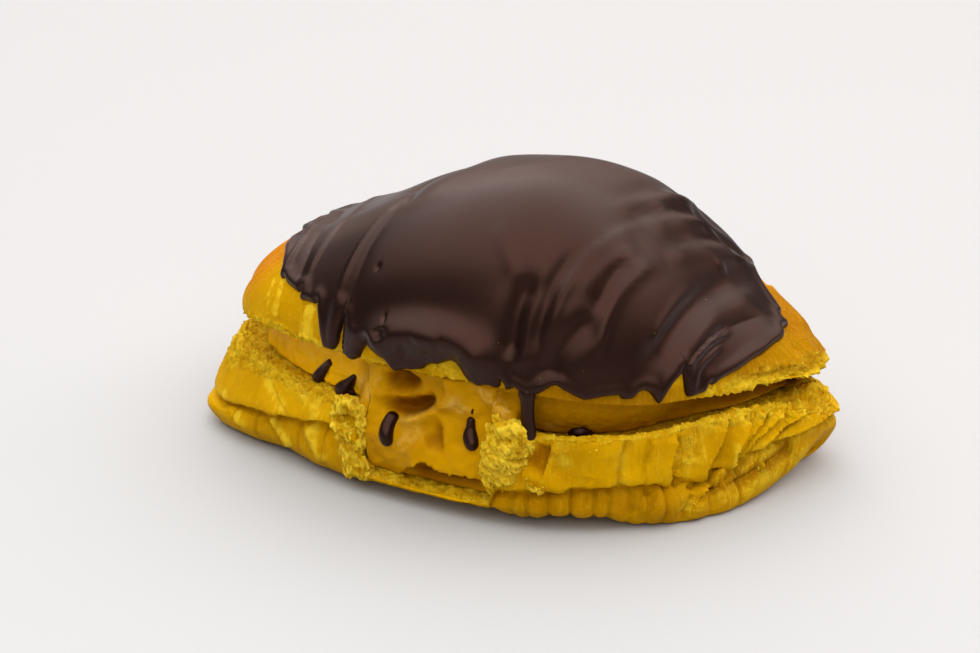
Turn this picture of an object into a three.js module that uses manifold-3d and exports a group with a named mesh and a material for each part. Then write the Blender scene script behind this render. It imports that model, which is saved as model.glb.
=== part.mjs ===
// A filled croissant, cut open along its middle and coated with dark chocolate.
// Millimetres. +X runs along its length, -Y is the open front, +Z is up, and it rests on z = 0.
// The origin lies on the floor below the middle of the whole.

import * as THREE from 'three';
import { mergeVertices } from 'three/addons/utils/BufferGeometryUtils.js';
import Module from 'manifold-3d';

const wasm = await Module();
wasm.setup();

// Plan outline seen from above, from the left end along the front to the right end and back.
const PLAN = [
  [-81, 6], [-79, -14], [-71, -28], [-50, -37], [-22, -42], [10, -42], [32, -38], [48, -28], [58, -14],
  [68, 3], [78, 20], [77, 36], [50, 42], [10, 41], [-30, 40], [-62, 36], [-77, 24],
];
const HUB = [4, 2];
const CENTRE = [-1.75, -0.385];

// Places along the outline are lengths from the middle of the front: left is below 0, right above.
// The lower half's wall, as [place, size] pairs that a smooth curve runs through.
const LEAN = [
  [-207, 3], [-125, 5], [-105, 6], [-90, 5.9], [-75, 5.6], [-60, 6], [-40, 4], [20, 1], [60, 0.5],
  [100, 2], [125, 3], [207, 3],
];
const CREASE_HEIGHT = [
  [-207, 11], [-110, 9], [-75, 8], [-65, 10], [-53, 12], [-40, 14.5], [-30, 16], [-22, 13], [16, 9],
  [28, 10.5], [42, 12], [55, 12], [66, 10.5], [78, 12], [94, 14], [108, 16], [125, 13], [207, 11],
];
const RIM_HEIGHT = [
  [-207, 24], [-120, 25], [-105, 24.5], [-80, 23.5], [-48, 23], [-28, 22.5], [16, 25.5], [30, 26],
  [90, 25.5], [100, 24], [110, 22], [122, 20.5], [140, 22], [207, 24],
];
const FOOT_INSET = [
  [-207, 10], [-110, 10], [-78, 8], [-56, 12], [-24, 12], [0, 14], [20, 13], [42, 10], [55, 6], [62, 3],
  [76, 3], [88, 6], [100, 13], [112, 17], [125, 16], [150, 11], [207, 10],
];
const BELLY_HEIGHT = [
  [-207, 6], [-110, 6], [-78, 5], [-30, 6], [20, 5.5], [55, 5], [62, 3.5], [76, 4], [88, 6], [100, 8],
  [112, 10], [125, 8], [207, 6],
];
// How far the upper band and the lower fold stand off the plan outline, and how high the fold's
// underside rises as a share of its belly.
const BAND_OUT = [
  [-207, 0], [-110, 0], [-90, 1.5], [-80, 1], [-65, 0], [100, 0], [110, -1.5], [121, -3.5],
  [130, -2], [145, 0], [207, 0],
];
const FOLD_OUT = [
  [-207, 0], [-108, 0], [-92, 2], [-80, 3.4], [-72, 1.6], [-60, 0], [-50, -1.5], [-38, 0], [24, 0],
  [33, -1], [44, -0.8], [52, 0], [60, 0.8], [70, 2.2], [80, 2.8], [88, 2], [96, 0], [102, -1.8],
  [110, -3.4], [120, -4.2], [130, -2], [145, 0], [207, 0],
];
const UNDERCUT = [
  [-207, 0.28], [-24, 0.28], [-16, 0.6], [12, 0.6], [22, 0.35], [32, 0.6], [44, 0.6], [52, 0.3],
  [207, 0.28],
];
const CREASE_DEPTH = 2.6;
const RIM_WIDTH = 3.2;
const CUT_FACE = 22.5;

// The torn opening in the front wall, between two ragged lumps of crumb.
const NOTCH = [-21.5, 15.5];
const NOTCH_SIDE = 2.2;
const NOTCH_SILL = 6;
const NOTCH_CREASE = 5.4;
const NOTCH_BELLY = 5;
const NOTCH_DEPTH = 14.5;
const NOTCH_SLOPE = 2;
const TORN_LUMPS = [[-27, 4.5, 2.2], [20, 6, 1.5]];
const TORN_PEAK = [18.5, 3.5, 3];

// Upright pleats of the lower fold: place, half width, depth.
const PLEATS = [
  [-58, 1.6, 0.7], [-44, 1.6, 0.7], [24, 1.3, 0.9], [29.5, 1.4, 0.8], [36, 1.3, 0.9], [41, 1.1, 0.7],
  [46, 1.3, 0.9], [51.5, 1.2, 0.9], [56.5, 1.5, 1.8], [69.5, 1.3, 1.2],
];
// Upright petals and hollows of the upper band: place at its foot and top, half width, height.
const PETALS = [
  [57.5, 58.5, 3.2, 0.8], [64.5, 65.5, 2.6, -2], [68, 74, 3, 1.6], [73, 80, 2.6, 1.2], [81, 88, 2.2, 0.9],
  [89, 96, 2.2, -0.9], [96, 103, 2.4, 0.8], [104, 110, 2.4, -0.8], [112, 117, 2.6, 0.8],
];
const END_HOLLOW = [92, 10, 7, 3, -2.4];

// The lid: its cut face, which drops towards the ends and the back as [drop, start, length], how far
// it stays inside the plan outline, and the height of its crest in steps from the left end.
const LID_HEIGHT = 36.5;
const LID_DROPS = { right: [6, 10, 70], left: [3, 50, 30], back: [4, -20, 55] };
const LID_INSET = [
  [-207, 1], [-165, 1.5], [-150, 3], [-118, 5], [-106, 6.8], [-92, 7.6], [-82, 8.8], [-74, 6.4],
  [-62, 3], [-50, 1.5], [60, 1], [80, 1.5], [95, 2.6], [105, 2.5], [113, 5], [121, 6.8], [130, 5.8],
  [142, 2.8], [155, 0.6], [207, 1],
];
const CREST_START = -80;
const CREST_STEP = 20;
const CREST = [22.5, 23, 27, 35.2, 41.4, 42.6, 37.8, 21.5, 15.5];
const ROUNDNESS = 2.3;

// The coating: gap to the lid, thickness, and the height of its edge above the lid's cut face.
const COAT_GAP = 0.7;
const COAT_THICKNESS = 1.4;
const COAT_EDGE = [
  [-207, 6], [-165, 8], [-140, 13], [-110, 17], [-95, 16], [-82, 14.7], [-66, 14.4], [-50, 12.6], [-36, 10.5],
  [-30, 4], [-22, 3], [-12, 4], [0, 3.5], [10, 2.5], [30, 2.2], [50, 3.4], [65, 4], [80, 5.2], [96, 7.5],
  [110, 10.6], [117, 12], [123, 17], [137, 18.6], [150, 17], [168, 11], [185, 7], [207, 6],
];
// Drips below that edge and nicks above it: place, half width, drop.
const DRIPS = [
  [-46, 2, 1.5], [-39, 2.2, 1.5], [-28.5, 2.8, 4], [-21, 3, 4.2], [-9, 2.4, 5], [14, 3, 2], [25, 3, 1.6],
  [37.5, 4, 1.4], [56, 2.2, 3], [66, 2.6, 2], [-24.6, 1, -8], [-17, 1.2, -3.5], [6, 3.5, -3.2],
  [32, 1.6, -2.6], [61.5, 1.6, -2.8],
];
// Halvings in the search for the edge's place on the lid.
const EDGE_SEARCHES = 11;
// The strand that has run from the edge onto the filling.
const STRAND = { top: [24.4, -41.6, 37], foot: [22.2, -35.6, 27], radius: 1.5 };

// Folds of the rolled layers under the coating: half width, height, points on the lid's surface.
const FOLDS = [
  [3, -1.3, [-55, 18, 50], [-56, 11, 51], [-46, -14, 56], [-43, -26, 54], [-42, -32, 51]],
  [4, -1.4, [-19, 18, 67], [-20, 5, 70], [-22, -18, 67], [-22, -26, 64], [-24, -38, 51]],
  [3.5, 0.5, [-31, -1, 65], [-36, -21, 60], [-39, -33, 53]],
  [3.5, -1.5, [31, 7, 73], [35, 27, 64], [38, 28, 61]],
  [3, -1.2, [35, 3, 70], [38, 14, 67], [42, 25, 59]],
  [3, -0.7, [38, -8, 66], [43, 4, 63], [47, 30, 52]],
  [4, -1.2, [30, -25, 65], [24, -34, 58], [21, -39, 48], [23, -40, 38]],
  [2.5, 0.7, [35, -14, 68], [29, -30, 61], [27, -36, 51]],
  [3, -0.9, [38, -26, 57], [33, -34, 53], [28, -38, 44]],
  [4.5, -1.1, [54, 17, 49], [50, -11, 50], [48, -26, 39]],
  [4, 0.7, [42, -11, 61], [41, -28, 53], [40, -32, 47]],
  [3.5, 1.2, [-20, -40, 46], [-15, -39, 51], [8, -39, 53], [14, -40, 49], [19, -40, 43]],
  [3.5, -1, [-15, -41, 42], [-10, -40, 48], [1, -40, 49], [12, -40, 47]],
];

// The filling: how far its wall stays inside the plan outline, gap to the pastry, and the bulge
// through the torn opening as [inset, height].
const CREAM_INSET = [
  [-207, 7], [-110, 11], [-70, 10], [-45, 7.6], [-28, 6], [-20, 5], [14, 5], [24, 4.5], [45, 5], [60, 6],
  [72, 8], [88, 13], [100, 19], [110, 25], [125, 24], [150, 10], [207, 7],
];
const CREAM_SPREAD = [
  [-207, 2], [-110, 2], [-60, 1], [-28, 0], [14, -2], [24, -3.5], [60, -2.5], [74, 0], [86, 4], [105, 4], [207, 2],
];
const CREAM_GAP = 0.4;
const ROOF_GAP = 0.6;
const CREAM_BULGE = [[2.6, 8], [0.8, 12], [0.2, 17], [3, 23], [4.6, 28]];
const CREAM_DIMPLES = [[6, 17, 4, 1.8], [-2, 26, 5, 1.2], [-14, 13, 4, -0.9], [9, 12, 4, -0.7]];

// Chocolate drops on the filling: centre, half sizes, lean in degrees.
const DROPS = [
  { at: [-37.4, -32.6, 26.4], size: [1.8, 1.6, 3.5], lean: 28 },
  { at: [-28.8, -35.4, 25.6], size: [2.5, 1.8, 3.2], lean: 30 },
  { at: [-12.2, -41.4, 20], size: [2, 1.4, 4], lean: 8 },
  { at: [9.2, -38.6, 22.3], size: [2.2, 1.4, 3.8], lean: 4 },
  { at: [33, -27.4, 24.9], size: [3, 2, 1.8], lean: 0 },
];

const COLOURS = { crust: 0xe0b400, filling: 0xd79a00, lid: 0xdca714, chocolate: 0x3a211b };
const CRUMB_ROUGHNESS = 0.7;
const CREAM_ROUGHNESS = 0.45;
const CHOCOLATE_ROUGHNESS = 0.3;

// Columns stand along the outline: closer together where the front is torn and dripping.
const COLUMN_RUNS = [[-207, 9], [-125, 4.6], [-56, 2.6], [66, 4], [128, 9]];

// Rings of the lid's cut face and of the filling below it, as shares of the way out.
const FACE_SHARES = [0, 0.25, 0.5, 0.75, 1];
const DOME_STEPS = 11;

const ease = (t) => THREE.MathUtils.smoothstep(t, 0, 1);
const bell = (t) => Math.exp(-t * t);
const mix = THREE.MathUtils.lerp;

// Smooth curve through [place, value] pairs, level past both ends.
function curve(place, knots) {
  const last = knots.length - 1;
  const at = THREE.MathUtils.clamp(place, knots[0][0], knots[last][0]);
  let i = 0;
  while (i < last - 1 && at >= knots[i + 1][0]) i += 1;
  const slope = (k) => {
    if (k <= 0 || k >= last) return 0;
    return (knots[k + 1][1] - knots[k - 1][1]) / (knots[k + 1][0] - knots[k - 1][0]);
  };
  const gap = knots[i + 1][0] - knots[i][0];
  const f = (at - knots[i][0]) / gap;
  const rest = 1 - f;
  const ends = (1 + 2 * f) * rest * rest * knots[i][1] + f * f * (3 - 2 * f) * knots[i + 1][1];
  return ends + f * rest * gap * (rest * slope(i) - f * slope(i + 1));
}

const planCurve = new THREE.CatmullRomCurve3(
  PLAN.map(([x, y]) => new THREE.Vector3(x, y, 0)), true, 'catmullrom', 0.5,
);
planCurve.arcLengthDivisions = 1000;
const GIRTH = planCurve.getLength();
const FRONT = middleOfFront();

// Share of the outline's length at which the middle of the front lies.
function middleOfFront() {
  let best = 0;
  let least = Infinity;
  for (let u = 0; u < 0.5; u += 0.0005) {
    const p = planCurve.getPointAt(u);
    if (p.y < 0 && Math.abs(p.x) < least) {
      least = Math.abs(p.x);
      best = u;
    }
  }
  return best;
}

// Point of the outline at a place, moved outwards by `out`, at height z.
function onOutline(place, out, z) {
  const u = THREE.MathUtils.euclideanModulo(FRONT + place / GIRTH, 1);
  const p = planCurve.getPointAt(u);
  const along = planCurve.getTangentAt(u);
  return new THREE.Vector3(p.x + along.y * out, p.y - along.x * out, z);
}

// Point a fraction of the way from the hub to the outline, at height z.
function towardsHub(place, fraction, z, out = 0) {
  const p = onOutline(place, out, z);
  return new THREE.Vector3(mix(HUB[0], p.x, fraction), mix(HUB[1], p.y, fraction), z);
}

function columnPlaces() {
  const places = [];
  COLUMN_RUNS.forEach(([from, step], i) => {
    const to = i + 1 < COLUMN_RUNS.length ? COLUMN_RUNS[i + 1][0] : GIRTH - 207;
    const count = Math.round((to - from) / step);
    for (let k = 0; k < count; k += 1) places.push(from + ((to - from) * k) / count);
  });
  return places;
}
const PLACES = columnPlaces();

// A closed body: column(place) gives its points from the bottom pole to the top pole.
function loft(column) {
  const columns = PLACES.map(column);
  const rows = columns[0].length - 1;
  const geometry = new THREE.SphereGeometry(1, PLACES.length, rows);
  const position = geometry.getAttribute('position');
  for (let row = 0; row <= rows; row += 1) {
    for (let c = 0; c <= PLACES.length; c += 1) {
      const p = columns[c % PLACES.length][rows - row];
      position.setXYZ(row * (PLACES.length + 1) + c, p.x - CENTRE[0], p.y - CENTRE[1], p.z);
    }
  }
  return welded(geometry);
}

function welded(geometry) {
  geometry.deleteAttribute('normal');
  geometry.deleteAttribute('uv');
  return mergeVertices(geometry, 1e-4);
}

function toSolid(geometry) {
  const vertProperties = new Float32Array(geometry.getAttribute('position').array);
  const triVerts = new Uint32Array(geometry.index.array);
  return new wasm.Manifold(new wasm.Mesh({ numProp: 3, vertProperties, triVerts }));
}

function toGeometry(solid) {
  const { vertProperties, triVerts } = solid.getMesh();
  const geometry = new THREE.BufferGeometry();
  geometry.setAttribute('position', new THREE.BufferAttribute(vertProperties, 3));
  geometry.setIndex(new THREE.BufferAttribute(triVerts, 1));
  return geometry;
}

// 1 inside the torn opening, 0 outside; `inside` narrows it.
function opening(place, inside = 0) {
  const left = ease((place - NOTCH[0] - inside) / NOTCH_SIDE + 0.5);
  const right = ease((NOTCH[1] - inside - place) / NOTCH_SIDE + 0.5);
  return left * right;
}

function lidHeight(x, y) {
  const drop = ([amount, start, length], along) => amount * ease((along - start) / length);
  return LID_HEIGHT - drop(LID_DROPS.right, x) - drop(LID_DROPS.left, -x) - drop(LID_DROPS.back, y);
}

const crestHeight = (x) => curve(x, CREST.map((h, i) => [CREST_START + i * CREST_STEP, h]));

// Height that the folds give the lid's surface at a point.
function foldHeight(p) {
  const nearest = new THREE.Vector3();
  return FOLDS.reduce((sum, [width, height, ...points]) => {
    let distance = Infinity;
    for (let i = 0; i + 1 < points.length; i += 1) {
      const piece = new THREE.Line3(new THREE.Vector3(...points[i]), new THREE.Vector3(...points[i + 1]));
      piece.closestPointToPoint(p, true, nearest);
      distance = Math.min(distance, nearest.distanceTo(p));
    }
    return sum + height * bell(distance / width);
  }, 0);
}

// Plan point of the lid at a share of the way out: its rim stays inside the whole's outline.
function onLidPlan(place, share) {
  const edge = onOutline(place, 0, 0);
  const reach = Math.hypot(edge.x - HUB[0], edge.y - HUB[1]);
  return towardsHub(place, share * (1 - curve(place, LID_INSET) / reach), 0);
}

// Point of the lid's top, without folds, at a share of the way out.
function onSmoothDome(place, share) {
  const p = onLidPlan(place, share);
  const rise = Math.max(1 - share ** ROUNDNESS, 0) ** (1 / ROUNDNESS);
  p.z = lidHeight(p.x, p.y) + crestHeight(p.x) * rise;
  return p;
}

// The same with its folds, moved off the surface by `swell`.
function onDome(place, share, swell) {
  const p = onSmoothDome(place, share);
  const fold = foldHeight(p) * ease((1 - share) / 0.04 + 0.35);
  return p.addScaledVector(domeNormal(place, share), swell + fold);
}

function domeNormal(place, share) {
  if (share < 0.01) return new THREE.Vector3(0, 0, 1);
  const near = Math.min(share, 0.998);
  const along = onSmoothDome(place + 0.5, near).sub(onSmoothDome(place - 0.5, near));
  const down = onSmoothDome(place, near + 0.002).sub(onSmoothDome(place, near - 0.002));
  return down.cross(along).normalize();
}

function edgeHeight(place) {
  const drips = DRIPS.reduce((sum, [at, width, drop]) => sum + drop * bell((place - at) / width), 0);
  return curve(place, COAT_EDGE) - drips;
}

// Share of the way out at which the coating ends, and how far it hangs below the lid's edge.
function coatEnd(place) {
  const height = edgeHeight(place);
  let share = 0;
  let beyond = 1;
  for (let i = 0; i < EDGE_SEARCHES; i += 1) {
    const middle = (share + beyond) / 2;
    const p = onSmoothDome(place, middle);
    if (p.z - lidHeight(p.x, p.y) > height) share = middle;
    else beyond = middle;
  }
  return { share, hang: Math.max(-height, 0) };
}

// Steps out along the dome, finer towards its steep foot.
const domeShare = (step, steps, end) => end * Math.sin((step / steps) * Math.PI * 0.5) ** 0.9;

function lowerHalf() {
  return loft((s) => {
    const open = opening(s);
    const lean = mix(curve(s, LEAN), 0.5, open);
    const crease = mix(curve(s, CREASE_HEIGHT), NOTCH_CREASE, open);
    const peak = TORN_PEAK[2] * bell((s - TORN_PEAK[0]) / TORN_PEAK[1]);
    const rim = mix(curve(s, RIM_HEIGHT) + peak, NOTCH_SILL, open);
    const belly = mix(curve(s, BELLY_HEIGHT), NOTCH_BELLY, open);
    const foot = curve(s, FOOT_INSET);
    const face = mix(CUT_FACE, NOTCH_SILL + 0.6, open);
    const torn = TORN_LUMPS.reduce((sum, [at, width, out]) => sum + out * bell((s - at) / width), 0);
    const pleat = PLEATS.reduce((sum, [at, width, deep]) => sum - deep * bell((s - at) / width), 0);
    const petal = (level) => PETALS.reduce(
      (sum, [low, high, width, out]) => sum + out * bell((s - mix(low, high, level)) / width), 0,
    );
    const [at, level, wide, high, out] = END_HOLLOW;
    const hollow = (z) => out * bell((s - at) / wide) * bell((z - level) / high);
    const bandOut = curve(s, BAND_OUT);
    const foldOut = curve(s, FOLD_OUT);
    const band = (swell, z) => onOutline(s, swell + bandOut + hollow(z), z);
    const fold = (swell, z) => onOutline(s, swell + foldOut + hollow(z), z);
    return [
      towardsHub(s, 0, 0),
      onOutline(s, foldOut - foot, 0),
      onOutline(s, foldOut - 0.35 * foot + 0.4 * pleat, curve(s, UNDERCUT) * belly),
      fold(-0.3 + pleat, belly),
      fold(-0.6 + pleat, mix(belly, crease, 0.6)),
      band(0.3 * (foldOut - bandOut) - mix(CREASE_DEPTH, 0.4, open), crease),
      band(torn + 0.2 + petal(0.1), mix(crease, rim, 0.14)),
      band(torn - 0.35 * lean + petal(0.45), mix(crease, rim, 0.45)),
      band(torn - 0.7 * lean + petal(0.75), mix(crease, rim, 0.75)),
      band(0.5 * torn - lean + petal(1), rim - 0.6),
      onOutline(s, bandOut - lean - 1.8 + 0.5 * petal(1), rim),
      onOutline(s, bandOut - lean - RIM_WIDTH, face),
      onOutline(s, -NOTCH_DEPTH, face),
      onOutline(s, -NOTCH_DEPTH - NOTCH_SLOPE, CUT_FACE),
      towardsHub(s, 0.4, CUT_FACE),
      towardsHub(s, 0, CUT_FACE),
    ];
  });
}

function creamFilling() {
  const slab = loft((s) => {
    const open = opening(s, 0.7);
    const inset = mix(curve(s, CREAM_INSET), 3.6, open);
    const spread = curve(s, CREAM_SPREAD);
    const floor = CUT_FACE + CREAM_GAP;
    const dimple = (z) => CREAM_DIMPLES.reduce(
      (sum, [at, height, wide, deep]) => sum - deep * bell((s - at) / wide) * bell((z - height) / wide), 0,
    );
    const top = onOutline(s, -inset, 0);
    const roof = lidHeight(top.x, top.y) - ROOF_GAP;
    const sill = NOTCH_SILL + 0.6 + CREAM_GAP;
    const bulge = CREAM_BULGE.map(([out, height], i) => {
      const level = i / (CREAM_BULGE.length - 1);
      const z = mix(mix(floor + 0.6, roof - 1.2, level), height, open);
      const plain = -inset - 1 + spread * (1 - level) ** 2;
      return onOutline(s, mix(plain, -out, open) + dimple(z) * open, z);
    });
    const underLid = (share) => {
      const p = towardsHub(s, share, 0, -inset - 2);
      p.z = lidHeight(p.x, p.y) - ROOF_GAP;
      return p;
    };
    return [
      towardsHub(s, 0, floor),
      towardsHub(s, 0.4, floor),
      onOutline(s, -Math.max(NOTCH_DEPTH + 1.5, inset + 4), floor),
      onOutline(s, -Math.max(NOTCH_DEPTH - 0.5, inset + 3), mix(floor, sill, open)),
      onOutline(s, mix(-inset - 2.2 + spread, -4, open), mix(floor, sill, open)),
      ...bulge,
      onOutline(s, -inset, roof - 0.5),
      ...FACE_SHARES.toReversed().map(underLid),
    ];
  });
  return toGeometry(DROPS.reduce((solid, drop) => solid.add(toSolid(chocolateDrop(drop))), toSolid(slab)));
}

function chocolateDrop({ at, size, lean }) {
  const ball = new THREE.SphereGeometry(1, 10, 7);
  ball.rotateX(Math.PI / 2);
  ball.scale(...size);
  ball.rotateY(THREE.MathUtils.degToRad(lean));
  ball.translate(at[0] - CENTRE[0], at[1] - CENTRE[1], at[2]);
  return welded(ball);
}

function upperHalf() {
  return loft((s) => {
    const under = (share) => {
      const p = onLidPlan(s, share * 0.97);
      p.z = lidHeight(p.x, p.y);
      return p;
    };
    const { share: end } = coatEnd(s);
    const dome = [];
    for (let i = DOME_STEPS; i >= 0; i -= 1) dome.push(onDome(s, domeShare(i, DOME_STEPS, end), 0));
    return [...FACE_SHARES.map(under), onDome(s, 1, 0), onDome(s, mix(1, end, 0.6), 0), ...dome];
  });
}

function chocolateCoating() {
  const shell = loft((s) => {
    const { share: end, hang } = coatEnd(s);
    const point = (step, steps, swell) => {
      const p = onDome(s, domeShare(step, steps, end), swell);
      p.z -= hang * (step / steps) ** 8;
      return p;
    };
    const inner = [];
    const outer = [];
    for (let i = 0; i <= DOME_STEPS; i += 1) inner.push(point(i, DOME_STEPS, COAT_GAP));
    for (let i = DOME_STEPS; i >= 0; i -= 1) outer.push(point(i, DOME_STEPS, COAT_GAP + COAT_THICKNESS));
    const lip = inner[DOME_STEPS].clone().lerp(outer[0], 0.5);
    lip.z -= 0.6;
    return [...inner, lip, ...outer];
  });
  return toGeometry(toSolid(shell).add(toSolid(strand())));
}

// A thread of chocolate that thickens towards its foot.
function strand() {
  const { top, foot, radius } = STRAND;
  const shift = (p) => new THREE.Vector3(p[0] - CENTRE[0], p[1] - CENTRE[1], p[2]);
  const from = shift(foot);
  const to = shift(top);
  const length = from.distanceTo(to);
  const thread = new THREE.CapsuleGeometry(radius, length, 3, 10);
  thread.rotateX(Math.PI / 2);
  thread.applyQuaternion(new THREE.Quaternion().setFromUnitVectors(
    new THREE.Vector3(0, 0, 1), to.clone().sub(from).normalize(),
  ));
  thread.translate((from.x + to.x) / 2, (from.y + to.y) / 2, (from.z + to.z) / 2);
  return welded(thread);
}

function part(name, geometry, color, roughness) {
  const mesh = new THREE.Mesh(geometry, new THREE.MeshStandardMaterial({ color, roughness, metalness: 0 }));
  mesh.name = name;
  return mesh;
}

const group = new THREE.Group();
group.add(
  part('lower_half', lowerHalf(), COLOURS.crust, CRUMB_ROUGHNESS),
  part('cream_filling', creamFilling(), COLOURS.filling, CREAM_ROUGHNESS),
  part('upper_half', upperHalf(), COLOURS.lid, CRUMB_ROUGHNESS),
  part('chocolate_coating', chocolateCoating(), COLOURS.chocolate, CHOCOLATE_ROUGHNESS),
);

export default group;
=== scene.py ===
"""A filled croissant, cut open along its middle and coated with dark chocolate.

Lengths are millimetres until a mesh is written in metres. +X runs along the croissant, -Y is its
open front, and it rests on z = 0. Shapes follow a plan outline: `place` is the length along it from
the middle of the front, negative to the left, and `height` is measured up the wall.
"""

import math

import bpy
import numpy as np
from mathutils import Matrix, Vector, kdtree, noise


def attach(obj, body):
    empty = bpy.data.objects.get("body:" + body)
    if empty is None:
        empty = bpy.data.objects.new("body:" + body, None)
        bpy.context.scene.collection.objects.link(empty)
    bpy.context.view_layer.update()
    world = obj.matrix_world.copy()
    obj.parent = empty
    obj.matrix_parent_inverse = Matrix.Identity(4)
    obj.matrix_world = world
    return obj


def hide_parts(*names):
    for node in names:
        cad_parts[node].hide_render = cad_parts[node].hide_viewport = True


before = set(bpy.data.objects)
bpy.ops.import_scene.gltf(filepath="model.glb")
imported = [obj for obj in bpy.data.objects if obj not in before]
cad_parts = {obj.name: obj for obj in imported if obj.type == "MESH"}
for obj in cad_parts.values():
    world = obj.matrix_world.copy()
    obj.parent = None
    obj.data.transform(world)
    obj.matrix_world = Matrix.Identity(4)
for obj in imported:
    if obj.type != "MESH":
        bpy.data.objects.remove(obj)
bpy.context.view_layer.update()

METRES = 0.001
# Points of a seam that are closer than this, in metres, become one.
MERGE = 1e-7

# Plan outline seen from above, from the left end along the front to the right end and back.
PLAN = [
    (-81, 6), (-79, -14), (-71, -28), (-50, -37), (-22, -42), (10, -42), (32, -38), (48, -28), (58, -14),
    (68, 3), (78, 20), (77, 36), (50, 42), (10, 41), (-30, 40), (-62, 36), (-77, 24),
]
HUB = np.array([4.0, 2.0])
CENTRE = np.array([-1.75, -0.385])
OUTLINE_STEPS = 60
# The place at the middle of the back, where the skins have their seams.
BACK = -207

# Camera: the photograph was taken from the right, a little above, with the croissant filling the
# middle of it. Marks below that are pairs of numbers are pixels of that photograph.
PHOTO = (980, 653)
FILM = 36
LENS = 85
AZIMUTH = math.radians(28)
ELEVATION = math.radians(24)
DISTANCE = 586
AIM = np.array([3.0, 0.0, 31.0])
ASIDE = (-8.86, 2.91)
RIGHT = np.array([math.cos(AZIMUTH), math.sin(AZIMUTH), 0.0])
AHEAD = np.array([-RIGHT[1] * math.cos(ELEVATION), RIGHT[0] * math.cos(ELEVATION), -math.sin(ELEVATION)])
ABOVE = np.cross(RIGHT, AHEAD)
EYE = AIM + RIGHT * ASIDE[0] + ABOVE * ASIDE[1] - DISTANCE * AHEAD

# The lower half's wall.
LEAN = [
    (-207, 3), (-125, 5), (-105, 6), (-90, 5.9), (-75, 5.6), (-60, 6), (-40, 4), (20, 1), (60, 0.5),
    (100, 2), (125, 3), (207, 3),
]
CREASE_HEIGHT = [
    (-207, 11), (-110, 9), (-75, 8), (-65, 10), (-53, 12), (-40, 14.5), (-30, 16), (-22, 13), (16, 9),
    (28, 10.5), (42, 12), (55, 12), (66, 10.5), (78, 12), (94, 14), (108, 16), (125, 13), (207, 11),
]
RIM_HEIGHT = [
    (-207, 24), (-120, 25), (-105, 24.5), (-80, 23.5), (-48, 23), (-28, 22.5), (16, 25.5), (30, 26),
    (80, 25.6), (90, 24), (100, 21.5), (110, 19.5), (122, 18.5), (140, 21), (207, 24),
]
FOOT_INSET = [
    (-207, 10), (-110, 10), (-78, 8), (-56, 12), (-24, 12), (0, 14), (20, 13), (42, 10), (55, 6), (62, 3),
    (76, 3), (88, 6), (100, 13), (112, 17), (125, 16), (150, 11), (207, 10),
]
BELLY_HEIGHT = [
    (-207, 6), (-110, 6), (-78, 5), (-30, 6), (20, 5.5), (55, 5), (62, 3.5), (76, 4), (88, 6), (100, 8),
    (112, 10), (125, 8), (207, 6),
]
# How far the upper band and the lower fold stand off the plan outline, and how high the fold's
# underside rises as a share of its belly.
BAND_OUT = [
    (-207, 0), (-110, 0), (-90, 1.5), (-80, 1), (-65, 0), (100, 0), (110, -1.5), (121, -3.5),
    (130, -2), (145, 0), (207, 0),
]
FOLD_OUT = [
    (-207, 0), (-108, 0), (-92, 2), (-80, 3.4), (-72, 1.6), (-60, 0), (-50, -1.5), (-38, 0),
    (24, 0), (33, -1), (44, -0.8), (52, 0), (60, 0.8), (70, 2.2), (80, 2.8), (88, 2), (96, 0),
    (102, -1.8), (110, -3.4), (120, -4.2), (130, -2), (145, 0), (207, 0),
]
UNDERCUT = [
    (-207, 0.28), (-24, 0.28), (-16, 0.6), (12, 0.6), (22, 0.35), (32, 0.6), (44, 0.6), (52, 0.3),
    (207, 0.28),
]
CREASE_DEPTH = 2.6
RIM_WIDTH = 3.2
CUT_FACE = 22.5

# The torn opening in the front wall.
NOTCH = (-21.5, 15.5)
NOTCH_SIDE = 2.2
NOTCH_SILL = 6
NOTCH_FLOOR = NOTCH_SILL + 0.6
NOTCH_LEAN = 0.5
NOTCH_CREASE = 5.4
NOTCH_CREASE_DEPTH = 0.4
NOTCH_BELLY = 5
NOTCH_DEPTH = 14.5
# The peak of the rim that tore off beside it: place, half width, height.
RIM_PEAK = (18.5, 3.5, 2.5)

# The lid: its cut face, how far it stays inside the outline, and its crest in steps from the left.
LID_HEIGHT = 36.5
LID_DROPS = {"right": (6, 10, 70), "left": (3, 50, 30), "back": (4, -20, 55)}
LID_INSET = [
    (-207, 1), (-165, 1.5), (-150, 3), (-118, 5), (-106, 6.8), (-92, 7.6), (-82, 8.8), (-74, 6.4),
    (-62, 3), (-50, 1.5), (60, 1), (80, 1.5), (95, 2.6), (105, 2.5), (113, 5), (121, 6.8),
    (130, 5.8), (142, 2.8), (155, 0.6), (207, 1),
]
CREST_START = -80
CREST_STEP = 20
CREST = [22.5, 23, 27, 35.2, 41.4, 42.6, 37.8, 21.5, 15.5]
ROUNDNESS = 2.3
# Steps that home in on a height of the dome.
HALVINGS = 14

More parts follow.
